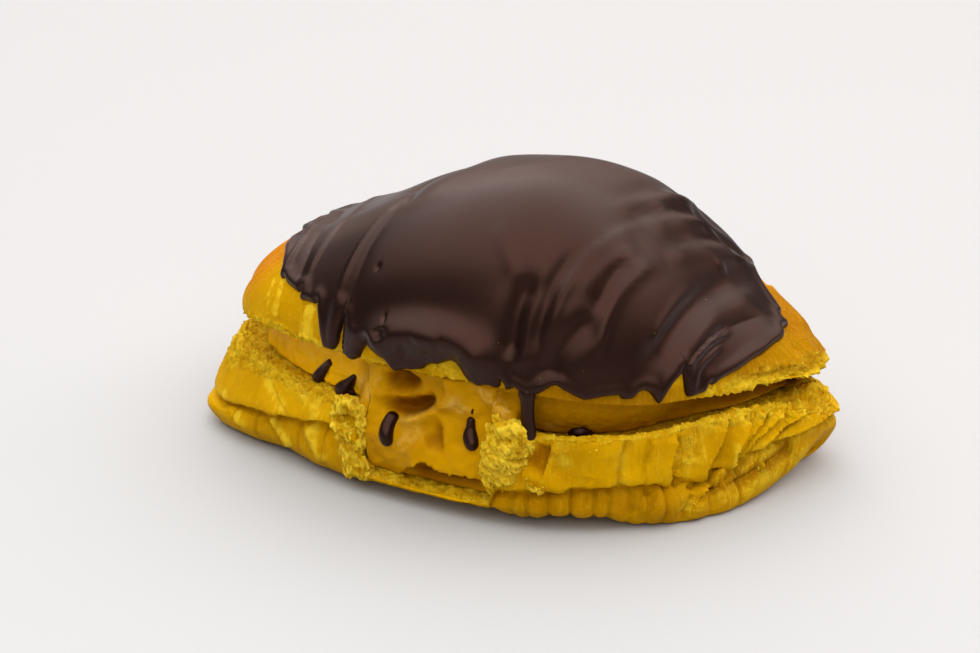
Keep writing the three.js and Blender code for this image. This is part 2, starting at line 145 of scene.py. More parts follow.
# The coating: the height of its edge above the lid's cut face, and the lobes that hang below that edge
# or notch it: place, half width, drop, bluntness. The marks are the edge that the camera sees.
COAT_EDGE = [
    (-207, 6), (-165, 8), (-140, 13), (-110, 17), (-95, 16.5), (-75, 17), (-64, 16), (-50, 13.2), (-40, 11.6),
    (-34, 10.6), (-25, 12.2), (-17, 7), (-12, 5.2), (0, 4.6), (6, 5.6), (12, 4.4), (20, 3.4), (32, 4.6),
    (46, 4.2), (54, 4.8), (62, 6.6), (70, 4.6), (81, 5.4), (96, 7.5), (110, 8.8), (118, 12), (126, 18),
    (137, 19), (150, 17), (168, 11), (185, 7), (207, 6),
]
EDGE_FADE = 5
LOBES = [
    (-96, 4, 1.5, 2), (-120, 5, 2, 2), (-150, 6, 2.5, 3), (-175, 5, 2, 3), (150, 5, 2, 3),
    (170, 6, 2, 3), (188, 4, 2.2, 3),
]
EDGE_MARKS = [
    (297, 238), (291, 245), (286, 256), (284, 268), (282, 278), (286, 279), (288, 283), (292, 287),
    (299, 292), (302, 290), (304, 287), (303, 294),
    (302, 300), (308, 301), (316, 304), (319, 299), (320, 296), (319, 305), (320, 320), (322, 335),
    (325, 345), (330, 351), (335, 349), (339, 343), (341, 335), (343, 325), (346, 312), (347, 326),
    (345, 334), (343, 342), (344, 351), (349, 359), (355, 362), (360, 358), (363, 351), (368, 344),
    (371, 340), (373, 345), (380, 354), (387, 360), (391, 369), (397, 374), (405, 372), (414, 370),
    (423, 369), (430, 364), (440, 364), (448, 361), (455, 361), (461, 367), (467, 377), (475, 387),
    (481, 389), (488, 386), (494, 389), (500, 388), (501, 380), (504, 381), (505, 389), (508, 391),
    (515, 388), (522, 394), (530, 396), (540, 393), (548, 388), (556, 385), (564, 390), (573, 395),
    (584, 400), (596, 398), (608, 396), (618, 395), (621, 399), (632, 398), (640, 391), (648, 392),
    (653, 398), (658, 404), (664, 395), (672, 383), (680, 374), (682, 371), (683, 376), (684, 389),
    (685, 395), (688, 397), (694, 395), (703, 391), (708, 383), (712, 385), (720, 379), (735, 371),
    (750, 361), (762, 354), (774, 344), (783, 337), (781, 330), (787, 326), (779, 320), (779, 313),
    (772, 304), (765, 296), (760, 290),
]

# The filling.
CREAM_INSET = [
    (-207, 7), (-125, 12), (-90, 15), (-70, 13), (-50, 9), (-28, 6), (-20, 5), (14, 5), (24, 4.5),
    (45, 5), (60, 6), (72, 8), (88, 11.5), (100, 14), (110, 17), (125, 17), (150, 10), (207, 7),
]
CREAM_SPREAD = [
    (-207, 2), (-110, 2), (-60, 1), (-28, 0), (14, -2), (24, -3.5), (60, -2.5), (74, 0), (86, 4), (105, 4),
    (207, 2),
]
# Where the filling that has come forward ends above the rim, right of the opening, how soon it ends,
# how far behind the outline it stands, and how far it stays off the opening's sides.
CREAM_END = 22
CREAM_FADE = 3
CREAM_FORWARD = 3.6
CREAM_ASIDE = 0.7
# Clear space over the cut face and below the lid, and the filling's front in the opening, as how far
# behind the outline and how high.
CREAM_GAP = 0.4
ROOF_GAP = 0.6
CREAM_BULGE = [(2.6, 8), (0.8, 12), (0.2, 17), (3, 23), (4.6, 28)]

# Mesh spacing along the outline: coarse behind, fine where the camera looks.
FINE_FROM = -104
FINE_TO = 118
FINE_STEP = 0.42
COARSE_STEP = 1.7


def ease(t):
    t = np.clip(t, 0, 1)
    return t * t * (3 - 2 * t)


def within(value, low, high, fade, fade_out=None):
    """1 between two values, and fading to 0 at both."""
    return ease((value - low) / fade) * ease((high - value) / (fade_out or fade))


def bell(t):
    return np.exp(-t * t)


def mix(a, b, t):
    return a + (b - a) * t


def curve(place, knots):
    """Smooth curve through (place, value) knots, level past both ends."""
    x, y = np.array(knots, float).T
    slope = np.zeros(len(x))
    slope[1:-1] = (y[2:] - y[:-2]) / (x[2:] - x[:-2])
    at = np.clip(place, x[0], x[-1])
    i = np.clip(np.searchsorted(x, at, side="right") - 1, 0, len(x) - 2)
    gap = x[i + 1] - x[i]
    f = (at - x[i]) / gap
    rest = 1 - f
    ends = (1 + 2 * f) * rest * rest * y[i] + f * f * (3 - 2 * f) * y[i + 1]
    return ends + f * rest * gap * (rest * slope[i] - f * slope[i + 1])


def spline(points, steps, closed=False):
    """Catmull-Rom points through the given ones."""
    p = np.array(points, float)
    n = len(p)
    if closed:
        a, b, c, d = np.roll(p, 1, 0), p, np.roll(p, -1, 0), np.roll(p, -2, 0)
    else:
        ends = np.concatenate([2 * p[:1] - p[1:2], p, 2 * p[-1:] - p[-2:-1]])
        a, b, c, d = ends[:n - 1], ends[1:n], ends[2:n + 1], ends[3:n + 2]
    f = (np.arange(steps) / steps)[None, :, None]
    a, b, c, d = (q[:, None] for q in (a, b, c, d))
    drawn = 0.5 * (
        2 * b + (c - a) * f + (2 * a - 5 * b + 4 * c - d) * f ** 2 + (3 * b - a - 3 * c + d) * f ** 3
    )
    drawn = drawn.reshape(-1, p.shape[1])
    return drawn if closed else np.concatenate([drawn, p[-1:]])


OUTLINE = spline(PLAN, OUTLINE_STEPS, closed=True)
OUTLINE_LOOP = np.concatenate([OUTLINE, OUTLINE[:1]])
RUN = np.concatenate([[0], np.cumsum(np.linalg.norm(np.diff(OUTLINE_LOOP, axis=0), axis=1))])
GIRTH = RUN[-1]
FRONT = RUN[np.argmin(np.abs(OUTLINE[:, 0]) + GIRTH * (OUTLINE[:, 1] > 0))]


def outline(place):
    run = np.mod(place + FRONT, GIRTH)
    return np.stack([np.interp(run, RUN, OUTLINE_LOOP[:, k]) for k in (0, 1)], -1)


def outline_normal(place):
    along = outline(place + 1.2) - outline(place - 1.2)
    along /= np.linalg.norm(along, axis=-1, keepdims=True)
    return np.stack([along[..., 1], -along[..., 0]], -1)


def standing(flat, z):
    return np.concatenate([flat, np.broadcast_to(z, flat.shape[:-1])[..., None]], -1)


def wall(place, out, z):
    """Point at a place, moved off the outline by `out`, at height z."""
    out = np.broadcast_to(out, place.shape)[..., None]
    return standing(outline(place) + outline_normal(place) * out, z)


def towards_hub(place, fraction, z, out=0.0):
    edge = wall(place, out, 0.0)[..., :2]
    return standing(HUB + (edge - HUB) * fraction, z)


def column_places():
    runs = [
        np.arange(BACK, FINE_FROM, COARSE_STEP),
        np.arange(FINE_FROM, FINE_TO, FINE_STEP),
        np.arange(FINE_TO, BACK + GIRTH, COARSE_STEP),
    ]
    return np.concatenate(runs)


PLACES = column_places()


def drawn(stations, splits):
    """Rings of points through stations, with `splits` rings from each station to the next, and the
    level of each ring as a station number."""
    p = np.array(stations)
    p = np.concatenate([2 * p[:1] - p[1:2], p, 2 * p[-1:] - p[-2:-1]])
    span = np.linalg.norm(np.diff(p, axis=0), axis=-1, keepdims=True)
    rings, levels = [], []
    for j, count in enumerate(splits):
        before, here, after = span[j], span[j + 1], span[j + 2]
        start = (p[j + 2] - p[j]) / np.maximum(before + here, 1e-6) * here
        start *= np.minimum(1, 1.5 * before / np.maximum(here, 1e-6))
        end = (p[j + 3] - p[j + 1]) / np.maximum(here + after, 1e-6) * here
        end *= np.minimum(1, 1.5 * after / np.maximum(here, 1e-6))
        for i in range(count):
            f = i / count
            rest = 1 - f
            point = (1 + 2 * f) * rest ** 2 * p[j + 1] + f * rest ** 2 * start
            rings.append(point + f * f * (3 - 2 * f) * p[j + 2] - f * f * rest * end)
            levels.append(j + f)
    rings.append(p[-2])
    levels.append(len(splits))
    return np.array(rings), np.array(levels)[:, None]


def facing(rings):
    """Outward directions of a grid of rings, bottom ring first."""
    along = np.roll(rings, -1, 1) - np.roll(rings, 1, 1)
    up = np.gradient(rings, axis=0)
    out = np.cross(along, up)
    return out / np.maximum(np.linalg.norm(out, axis=-1, keepdims=True), 1e-9)


def rough(points, size, seed=0.0, octaves=3):
    """Fractal noise, about -1 to 1, with grains of the given size. Each use has a seed of its own."""
    scaled = points / np.asarray(size, float) + seed * np.array([17.3, 5.1, 29.7])
    flat = scaled.reshape(-1, 3).tolist()
    return np.array([noise.fractal(p, 1.0, 2.0, octaves) for p in flat]).reshape(scaled.shape[:-1])


def closed_skin(name, rings, **fields):
    """A sheet of squares wrapped round along the rings, bottom ring first, and closed at its seam and
    at both ends. The fields are numbers that its finish reads."""
    rows, columns = rings.shape[0] - 1, rings.shape[1]
    bpy.ops.object.select_all(action="DESELECT")
    bpy.ops.mesh.primitive_grid_add(x_subdivisions=columns, y_subdivisions=rows, size=1, location=(0, 0, 0))
    piece = bpy.context.object
    piece.name = piece.data.name = name
    sheet = points_of(piece)
    column = np.rint((sheet[:, 0] + 0.5) * columns).astype(int) % columns
    row = np.rint((sheet[:, 1] + 0.5) * rows).astype(int)
    place_points(piece, rings[row, column])
    for key, values in fields.items():
        note(piece, key, values[row, column])
    bpy.ops.object.mode_set(mode="EDIT")
    bpy.ops.mesh.select_all(action="SELECT")
    bpy.ops.mesh.remove_doubles(threshold=MERGE)
    bpy.ops.object.mode_set(mode="OBJECT")
    bpy.ops.object.shade_smooth()
    return piece


def note(piece, name, values):
    """A number at each point of a piece, for its finish to read."""
    attribute = piece.data.attributes.new(name, "FLOAT", "POINT")
    attribute.data.foreach_set("value", values.astype(np.float32))


def points_of(piece):
    flat = np.empty(len(piece.data.vertices) * 3, np.float32)
    piece.data.vertices.foreach_get("co", flat)
    return flat.reshape(-1, 3).astype(float)


def place_points(piece, points):
    shifted = (points - np.append(CENTRE, 0)) * METRES
    piece.data.vertices.foreach_set("co", shifted.astype(np.float32).ravel())
    piece.data.update()


def past(place, edge, width):
    """0 before an edge and 1 after it, or the other way round where the width is negative."""
    return ease((place - edge) / width + 0.5)


def opening(place, inside=0.0):
    """1 inside the torn opening, 0 outside."""
    return past(place, NOTCH[0] + inside, NOTCH_SIDE) * past(place, NOTCH[1] - inside, -NOTCH_SIDE)


def lid_height(x, y):
    def drop(side, along):
        amount, start, length = LID_DROPS[side]
        return amount * ease((along - start) / length)
    return LID_HEIGHT - drop("right", x) - drop("left", -x) - drop("back", y)


def under_lid(flat, rise):
    """Points of a plan on the lid's cut face, raised a little."""
    return standing(flat, lid_height(flat[..., 0], flat[..., 1]) + rise)


def above_cut(point):
    """Height of a point above the lid's cut face."""
    return point[..., 2] - lid_height(point[..., 0], point[..., 1])


def crest_height(x):
    return curve(x, [(CREST_START + i * CREST_STEP, h) for i, h in enumerate(CREST)])


def lid_plan(place, share):
    edge = outline(place)
    reach = np.linalg.norm(edge - HUB, axis=-1)
    return HUB + (edge - HUB) * (share * (1 - curve(place, LID_INSET) / reach))[..., None]


def smooth_dome(place, share):
    """Point of the lid's top at a share of the way out from the hub."""
    flat = lid_plan(place, share)
    rise = np.maximum(1 - share ** ROUNDNESS, 0) ** (1 / ROUNDNESS)
    x, y = flat[..., 0], flat[..., 1]
    return standing(flat, lid_height(x, y) + crest_height(x) * rise)


def dome_normal(place, share):
    near = np.clip(share, 0.01, 0.998)
    along = smooth_dome(place + 0.5, near) - smooth_dome(place - 0.5, near)
    down = smooth_dome(place, near + 0.002) - smooth_dome(place, near - 0.002)
    out = np.cross(down, along)
    out /= np.linalg.norm(out, axis=-1, keepdims=True)
    top = ease((0.03 - share) / 0.02)[..., None]
    return out * (1 - top) + np.array([0, 0, 1]) * top


def share_at(place, height):
    """Share of the way out at which the dome stands at a height above the lid's cut face."""
    share = np.zeros(place.shape)
    beyond = np.ones(place.shape)
    for _ in range(HALVINGS):
        middle = (share + beyond) / 2
        above = above_cut(smooth_dome(place, middle)) > height
        share = np.where(above, middle, share)
        beyond = np.where(above, beyond, middle)
    return share


def edge_height(place):
    """Height of the coating's edge above the lid's cut face."""
    height = curve(place, COAT_EDGE)
    for at, width, drop, bluntness in LOBES:
        height = height - drop * np.exp(-np.abs((place - at) / width) ** bluntness)
    seen = np.interp(place, EDGE_PLACE, EDGE_HEIGHT)
    return mix(height, seen, within(place, EDGE_PLACE[0], EDGE_PLACE[-1], EDGE_FADE))


def pixels(points):
    """Where points appear in the photograph."""
    ray = points - EYE
    scale = LENS / FILM * PHOTO[0] / (ray @ AHEAD)
    return np.stack([PHOTO[0] / 2 + ray @ RIGHT * scale, PHOTO[1] / 2 - ray @ ABOVE * scale], -1)


class Canvas:
    """A skin on which marks read off the photograph find their points."""

    def __init__(self, rings, out, place, height):
        shown = ((rings - EYE) * out).sum(-1) < 0
        shape = rings.shape[:2]
        fields = [np.broadcast_to(field, shape)[..., None] for field in (place, height)]
        self.values = np.concatenate([rings, *fields], -1)[shown]
        self.tree = kdtree.KDTree(len(self.values))
        for i, (u, v) in enumerate(pixels(self.values[:, :3]).tolist()):
            self.tree.insert((u, v, 0), i)
        self.tree.balance()

    def find(self, mark):
        """Point, place and height of a pixel; a mark of three numbers is a point already."""
        if len(mark) == 3:
            return np.array([*mark, 0, 0], float)
        near = self.tree.find_n((*mark, 0), 4)
        weight = np.array([1 / (gap + 0.05) for _, _, gap in near])
        return weight @ self.values[[i for _, i, _ in near]] / weight.sum()

    def marks(self, marks):
        return np.array([self.find(mark) for mark in marks])


# Strokes on a skin: kind, half width, height, marks from one end to the other. A step is raised on
# its right and sunk on its left.
RIDGE, CREASE, STEP = "ridge", "crease", "step"
STROKE_STEPS = 6


def near_stroke(points, stroke, out, reach):
    """Distance from each point to a drawn stroke, how far along it, and 1 on its right or -1 on its
    left as seen from outside."""
    flat, normal = points.reshape(-1, 3), out.reshape(-1, 3)
    low, high = stroke.min(0) - reach, stroke.max(0) + reach
    inside = np.nonzero(((flat > low) & (flat < high)).all(1))[0]
    distance = np.full(len(flat), reach * 10.0)
    share = np.zeros(len(flat))
    side = np.ones(len(flat))
    best = np.full(len(inside), np.inf)
    for k, step in enumerate(np.diff(stroke, axis=0)):
        rel = flat[inside] - stroke[k]
        f = np.clip(rel @ step / max(step @ step, 1e-9), 0, 1)
        gap = np.linalg.norm(rel - f[:, None] * step, axis=1)
        closer = gap < best
        best[closer] = gap[closer]
        share[inside[closer]] = (k + f[closer]) / (len(stroke) - 1)
        turn = (np.cross(rel, step) * normal[inside]).sum(1)
        side[inside[closer]] = np.sign(turn[closer])
    distance[inside] = best
    shape = points.shape[:-1]
    return distance.reshape(shape), share.reshape(shape), side.reshape(shape)


def strokes_on(points, out, strokes, canvas, taper=0.12, blunt=0.3):
    """Height that strokes add to a skin. Each fades over the share `taper` of its length at both ends,
    and `blunt` is how much of it is left at the very end."""
    total = np.zeros(points.shape[:-1])
    for kind, width, height, *marks in strokes:
        path = spline(canvas.marks(marks)[:, :3], STROKE_STEPS)
        distance, share, side = near_stroke(points, path, out, 3 * width)
        fade = ease(share / taper + blunt) * ease((1 - share) / taper + blunt)
        sharp = np.maximum(np.exp(-distance / width) - 0.05, 0)
        profile = {RIDGE: bell(distance / width), CREASE: -sharp, STEP: side * sharp}[kind]
        total += height * fade * profile
    return total


# Folds of the rolled layers under the coating, and ridges of the poured chocolate over them.
COAT_STROKES = [
    # left part, from its end
    (CREASE, 3, 1.1, (-55, 18, 50), (347, 211), (339, 219), (330, 229)),
    (CREASE, 1.8, 0.5, (347, 211), (328, 230), (312, 255), (304, 275), (303, 286)),
    (RIDGE, 0.8, 0.45, (341, 212), (325, 222), (310, 238), (298, 254), (291, 268), (287, 280)),
    (RIDGE, 0.9, 0.45, (398, 191), (378, 201), (358, 215), (340, 231), (326, 249), (315, 268), (308, 286)),
    (CREASE, 3.4, 1.5, (-19, 18, 67), (-20, 5, 70), (421, 190), (411, 200), (400, 212)),
    (CREASE, 1.8, 0.3, (421, 190), (402, 210), (385, 232), (372, 252), (362, 275), (354, 295), (348, 310)),
    (RIDGE, 6, 0.5, (-8, 16, 72), (-8, 2, 76), (440, 190), (425, 215)),
    (RIDGE, 0.8, 0.4, (418, 190), (400, 205), (381, 224), (366, 244), (354, 266), (344, 290), (338, 316)),
    (RIDGE, 2.4, 0.5, (345, 290), (338, 315), (333, 345)),
    (RIDGE, 2.2, 0.5, (360, 320), (356, 340), (353, 358)),
    (RIDGE, 0.6, -0.5, (378, 269), (384, 268)),
    # the swirl over the opening
    (RIDGE, 4.2, 3.8, (356, 356), (366, 344), (378, 338), (395, 334), (415, 333), (435, 334), (455, 338),
     (470, 345), (482, 356), (492, 368), (500, 380)),
    (RIDGE, 1.6, -1.0, (387, 325), (391, 337)),
    (RIDGE, 2.4, 0.7, (425, 345), (436, 340), (446, 343)),
    (RIDGE, 2.0, -0.5, (405, 343), (413, 352)),
    (RIDGE, 1.8, 0.6, (462, 350), (470, 362), (478, 376)),
    (RIDGE, 0.8, -0.6, (388, 317), (392, 317)),
    # the middle
    (RIDGE, 1.2, 0.35, (500, 173), (520, 172), (540, 169), (560, 164), (580, 159)),
    (RIDGE, 1.8, 0.3, (500, 222), (504, 243), (512, 262), (517, 285)),
    (RIDGE, 6, -0.9, (541, 276), (534, 300), (528, 325), (524, 355), (524, 385)),
    (RIDGE, 2.6, -1.5, (538, 268), (527, 288), (519, 306), (515, 325), (513, 345), (514, 362)),
    (RIDGE, 2.2, 0.8, (545, 282), (537, 305), (529, 330), (524, 352), (521, 378)),
    (RIDGE, 2.6, -1.3, (592, 244), (572, 262), (558, 280), (548, 298), (541, 318), (536, 340), (532, 362)),
    (RIDGE, 1.4, 0.9, (655, 222), (635, 227), (618, 237), (603, 248), (590, 256), (578, 269), (568, 284),
     (560, 299), (553, 317), (546, 335), (541, 352)),
    (RIDGE, 3, -1.3, (600, 318), (585, 325), (568, 340), (556, 355), (549, 372), (543, 388)),
    (RIDGE, 2.4, 0.6, (640, 250), (620, 258), (600, 268), (585, 283), (576, 300)),
    (RIDGE, 1.6, -0.6, (628, 262), (612, 275), (602, 295), (592, 315)),
    (RIDGE, 1.6, 0.8, (665, 262), (645, 268), (628, 282), (615, 298), (606, 318), (599, 340), (594, 362)),
    # right part, from the top
    (RIDGE, 3, -0.9, (605, 205), (640, 194), (665, 191), (690, 201), (703, 214), (45, 32, 54)),
    (CREASE, 3, 0.9, (665, 191), (690, 201), (703, 216), (45, 32, 54)),
    (RIDGE, 2.2, 0.8, (600, 226), (630, 209), (660, 203), (690, 206), (703, 215)),
    (RIDGE, 2.6, -1.1, (598, 238), (625, 222), (650, 214), (680, 213), (700, 219), (712, 228), (50, 32, 50)),
    (CREASE, 3, 1.0, (690, 215), (712, 228), (50, 32, 50)),
    (RIDGE, 2.0, 0.7, (640, 228), (665, 223), (695, 224), (714, 230)),
    (RIDGE, 2.4, -0.8, (650, 247), (690, 240), (720, 243), (735, 252), (57, 34, 42)),
    (CREASE, 3, 0.7, (718, 242), (736, 252), (57, 34, 42)),
    (RIDGE, 2.0, 0.7, (660, 262), (700, 251), (735, 252)),
    (RIDGE, 1.8, 0.6, (700, 263), (735, 262), (757, 270)),
    (RIDGE, 1.0, 0.5, (713, 268), (722, 270)),
    (RIDGE, 4, -1.5, (752, 280), (725, 288), (700, 302), (682, 320), (665, 342), (652, 362), (642, 385)),
    (RIDGE, 1.3, 0.6, (700, 288), (682, 298), (668, 313), (657, 330), (650, 347)),
    (RIDGE, 3.4, 0.8, (765, 290), (740, 300), (715, 310), (700, 328), (688, 348), (675, 370), (662, 398)),
    (STEP, 1.2, 0.5, (683, 368), (686, 363), (695, 352), (710, 338), (730, 325)),
    (CREASE, 1.2, 0.5, (770, 318), (745, 322), (725, 330), (710, 340)),
    (RIDGE, 0.7, 0.4, (690, 362), (700, 350), (714, 341), (730, 333)),
    (RIDGE, 0.7, 0.4, (722, 345), (705, 358), (694, 372), (690, 392)),
]


# Spacing of the skins that marks are laid on, how far below the lid's cut face marks can lie, and
# where the folds are worked out.
CANVAS_STEP = 0.8
HANG_STEP = 0.5
HANG_LIMIT = 6
FOLD_SHARES = np.sin(np.linspace(0, 1, 180) * math.pi / 2)


def dome_canvas():
    """The lid's smooth top, carried on downwards past its lower edge."""
    places = np.arange(BACK, BACK + GIRTH, CANVAS_STEP)
    rows = []
    for share in np.sin(np.linspace(0.005, 1, 160) * math.pi / 2):
        shares = np.full(places.shape, share)
        point = smooth_dome(places, shares)
        rows.append((point, dome_normal(places, shares), above_cut(point)))
    point, normal, _ = rows[-1]
    for hang in np.arange(HANG_STEP, HANG_LIMIT, HANG_STEP):
        rows.append((point - np.array([0, 0, hang]), normal, np.full(places.shape, -hang)))
    points, normals, heights = (np.array(part) for part in zip(*rows))
    return Canvas(points, normals, places, heights)


def fold_field(canvas):
    """Height of the folds by share of the way out and place."""
    place, share = np.broadcast_arrays(PLACES[None, :], FOLD_SHARES[:, None])
    points = smooth_dome(place, share)
    return strokes_on(points, dome_normal(place, share), COAT_STROKES, canvas, 0.25, 0.05)


def folds_at(share):
    columns = [np.interp(share[:, i], FOLD_SHARES, FOLDS[:, i]) for i in range(len(PLACES))]
    return np.stack(columns, 1)


def seen_edge(canvas):
    """The coating's edge where the camera sees it: rising places and their heights."""
    drawn_edge = spline(canvas.marks(EDGE_MARKS)[:, 3:], STROKE_STEPS)
    place = np.maximum.accumulate(drawn_edge[:, 0]) + np.arange(len(drawn_edge)) * 1e-4
    return place, drawn_edge[:, 1]


# Lower half: rows between its stations. Levels are station numbers: the wall, and the band and the fold
# on it with how soon they fade. Grains are sizes along the outline, up the wall and through it.
WALL_LEVELS = (3, 11.2)
BAND_LEVELS = (7.2, 11.3, 0.6)
FOLD_LEVELS = (3, 7.4, 1, 0.8)
STREAK_GRAIN = (0.9, 14, 1)
LUMP_GRAIN = (9, 12, 1)
LOWER_SPLITS = [2, 3, 2, 5, 5, 7, 7, 6, 14, 14, 8, 8, 8, 4, 3, 3, 2]


def lower_half_rings(place):
    inside = opening(place)
    lean = mix(curve(place, LEAN), NOTCH_LEAN, inside)
    peak, width, rise = RIM_PEAK
    crease = mix(curve(place, CREASE_HEIGHT), NOTCH_CREASE, inside)
    rim = mix(curve(place, RIM_HEIGHT) + rise * bell((place - peak) / width), NOTCH_SILL, inside)
    depth = mix(CREASE_DEPTH, NOTCH_CREASE_DEPTH, inside)
    belly = mix(curve(place, BELLY_HEIGHT), NOTCH_BELLY, inside)
    foot = curve(place, FOOT_INSET)
    band = curve(place, BAND_OUT)
    fold = curve(place, FOLD_OUT)
    face = mix(CUT_FACE, NOTCH_FLOOR, inside)
    stations = [
        towards_hub(place, 0, 0), towards_hub(place, 0.55, 0), wall(place, fold - foot - 1, 0),
        wall(place, fold - foot, 0), wall(place, fold - 0.35 * foot, curve(place, UNDERCUT) * belly),
        wall(place, fold - 0.3, belly), wall(place, fold - 0.6, mix(belly, crease, 0.62)),
        wall(place, mix(band, fold, 0.3) - depth, crease),
        wall(place, band + 0.2, mix(crease, rim, 0.12)),
        wall(place, band - 0.4 * lean, mix(crease, rim, 0.55)),
        wall(place, band - lean, rim - 0.7), wall(place, band - lean - 1.8, rim),
        wall(place, band - lean - RIM_WIDTH - 1, face), wall(place, band - lean - RIM_WIDTH - 4, face),
        wall(place, -NOTCH_DEPTH, face), wall(place, -NOTCH_DEPTH - 2, CUT_FACE),
        towards_hub(place, 0.4, CUT_FACE), towards_hub(place, 0, CUT_FACE),
    ]
    return drawn(stations, LOWER_SPLITS)


# Torn panels, pleats and layers of the lower half.
LOWER_STROKES = [
    # left of the opening
    (STEP, 2.5, 0.5, (286, 412), (274, 388), (264, 360)),
    (STEP, 2.0, 0.4, (236, 404), (228, 380), (232, 352)),
    (RIDGE, 1.5, 0.5, (297, 386), (306, 402), (316, 414)),
    (STEP, 2.5, 0.8, (240, 426), (229, 409)),
    (STEP, 3, 1.6, (291, 447), (278, 430), (268, 413)),
    (CREASE, 2.5, 0.9, (297, 419), (303, 440), (313, 457)),
    (RIDGE, 1.6, 0.9, (304, 418), (311, 440), (325, 463)),
    (CREASE, 2, 0.9, (322, 420), (331, 445), (340, 468)),
    # panels right of the opening
    (STEP, 2, 1.2, (541, 478), (547, 462), (552, 446)),
    (RIDGE, 1.5, 1.0, (510, 470), (520, 459), (532, 448), (541, 440)),
    (RIDGE, 3, -1.3, (528, 466), (538, 455), (546, 448)),
    (RIDGE, 1.6, 1.0, (520, 474), (535, 478), (548, 484), (566, 491)),
    (RIDGE, 5, -0.8, (552, 468), (570, 476), (590, 486)),
    (RIDGE, 4, 0.5, (590, 442), (592, 465), (590, 480)),
    (CREASE, 1.3, 1.3, (628, 440), (623, 455), (620, 470), (619, 482), (621, 492)),
    (STEP, 0.9, 0.25, (630, 488), (632, 465), (633, 442)),
    (STEP, 0.9, 0.2, (638, 486), (639, 465), (641, 442)),
    (STEP, 1.4, 0.8, (644, 486), (645, 470), (648, 455), (653, 440)),
    (STEP, 2.4, 2.2, (677, 437), (672, 455), (669, 470), (668, 484)),
    (RIDGE, 1.6, -1.6, (670, 482), (675, 481)),
    (STEP, 2.2, 2.2, (726, 418), (720, 434), (714, 450), (706, 466), (696, 480), (684, 487)),
    (RIDGE, 2.0, 0.9, (716, 426), (709, 444), (700, 462), (690, 478)),
    (STEP, 2.2, 2.4, (750, 418), (742, 434), (734, 448), (731, 462), (724, 476), (711, 488), (700, 498)),
    (RIDGE, 1.6, 0.8, (742, 424), (733, 440), (727, 456), (719, 472), (706, 486)),
    (RIDGE, 0.9, -0.5, (705, 476), (714, 470), (723, 467)),
    (RIDGE, 0.9, -0.5, (708, 466), (717, 459), (727, 456)),
    (RIDGE, 0.9, -0.4, (713, 455), (721, 449), (730, 447)),
    (STEP, 1.6, 1.8, (768, 414), (757, 428), (746, 442), (737, 456)),
    (STEP, 1.6, 1.6, (786, 410), (774, 422), (761, 436), (748, 450), (738, 462)),
    (STEP, 1.6, 1.6, (806, 412), (790, 424), (775, 436), (760, 448)),
    (RIDGE, 1.2, 0.8, (832, 424), (812, 430), (792, 437), (774, 447), (757, 459), (741, 473)),
    (RIDGE, 3.2, -3.0, (796, 446), (782, 456), (768, 468)),
    (RIDGE, 2.8, -2.6, (764, 464), (751, 474), (738, 484)),
    (RIDGE, 1.4, 0.9, (778, 452), (770, 462), (764, 472)),
    (RIDGE, 1.0, -1.2, (762, 426), (768, 416)),
    (RIDGE, 1.3, -1.2, (777, 432), (788, 423)),
    (RIDGE, 2, -1.0, (712, 492), (735, 486), (760, 478)),
    # the large roll of the fold and its neighbours
    (RIDGE, 4.2, 1.6, (653, 504), (665, 506), (677, 503)),
    (CREASE, 1.3, 1.8, (650, 489), (643, 499), (639, 512), (643, 522)),
    (CREASE, 1.4, 1.8, (693, 494), (688, 504), (683, 514), (683, 521)),
    (RIDGE, 2.4, 0.9, (701, 500), (698, 510), (694, 518)),
    (CREASE, 1.2, 1.2, (621, 494), (621, 505), (626, 518)),
    (CREASE, 1.0, 0.8, (633, 492), (629, 504), (633, 516)),
    (CREASE, 1.0, 1.0, (604, 495), (601, 505), (603, 516)),
    (CREASE, 1.0, 0.9, (589, 496), (586, 506), (588, 515)),
]
# Crumb laid bare between the panels.
CRUMB_STROKES = [
    (RIDGE, 2.6, 1, (684, 440), (680, 455), (677, 470)),
    (RIDGE, 2.8, 1, (694, 438), (690, 452), (688, 466)),
    (RIDGE, 2.4, 1, (560, 442), (563, 456), (564, 468)),
    (RIDGE, 1.4, 1, (629, 438), (622, 458), (620, 480), (621, 492)),
    (RIDGE, 4.5, 1, (740, 478), (762, 462), (790, 448)),
    (RIDGE, 4, 1, (716, 500), (745, 485), (775, 470), (800, 452)),
    (RIDGE, 4, 1, (690, 500), (688, 512)),
    (RIDGE, 4, 1, (812, 405), (826, 412), (832, 422)),
    (RIDGE, 2, 0.9, (690, 430), (720, 419), (750, 412), (780, 402)),
    (RIDGE, 2, 0.9, (250, 345), (272, 366), (300, 388), (330, 402)),
    (RIDGE, 5, 0.8, (780, 410), (800, 400), (820, 400)),
]
STREAK_STROKES = [
    (RIDGE, 1.5, 1, (222, 362), (224, 380), (228, 397)),
    (RIDGE, 1.6, 0.8, (264, 358), (269, 385), (284, 411)),
    (RIDGE, 1.6, 0.9, (275, 418), (283, 434), (292, 447)),
    (RIDGE, 2.0, 1, (308, 418), (312, 440), (324, 462)),
    (RIDGE, 1.8, 0.7, (237, 412), (246, 428)),
    (RIDGE, 1.2, 0.8, (302, 392), (310, 406), (318, 416)),
    (RIDGE, 1.3, 0.8, (732, 440), (733, 455), (731, 468)),
    (RIDGE, 1.3, 0.8, (820, 424), (795, 433), (775, 444), (760, 458)),
    (RIDGE, 1.0, 0.8, (523, 457), (535, 447)),
    (RIDGE, 1.0, 0.8, (512, 500), (515, 510)),
]
BAKED_STROKES = [
    (RIDGE, 3.4, 0.5, (528, 466), (538, 456), (547, 447)),
]


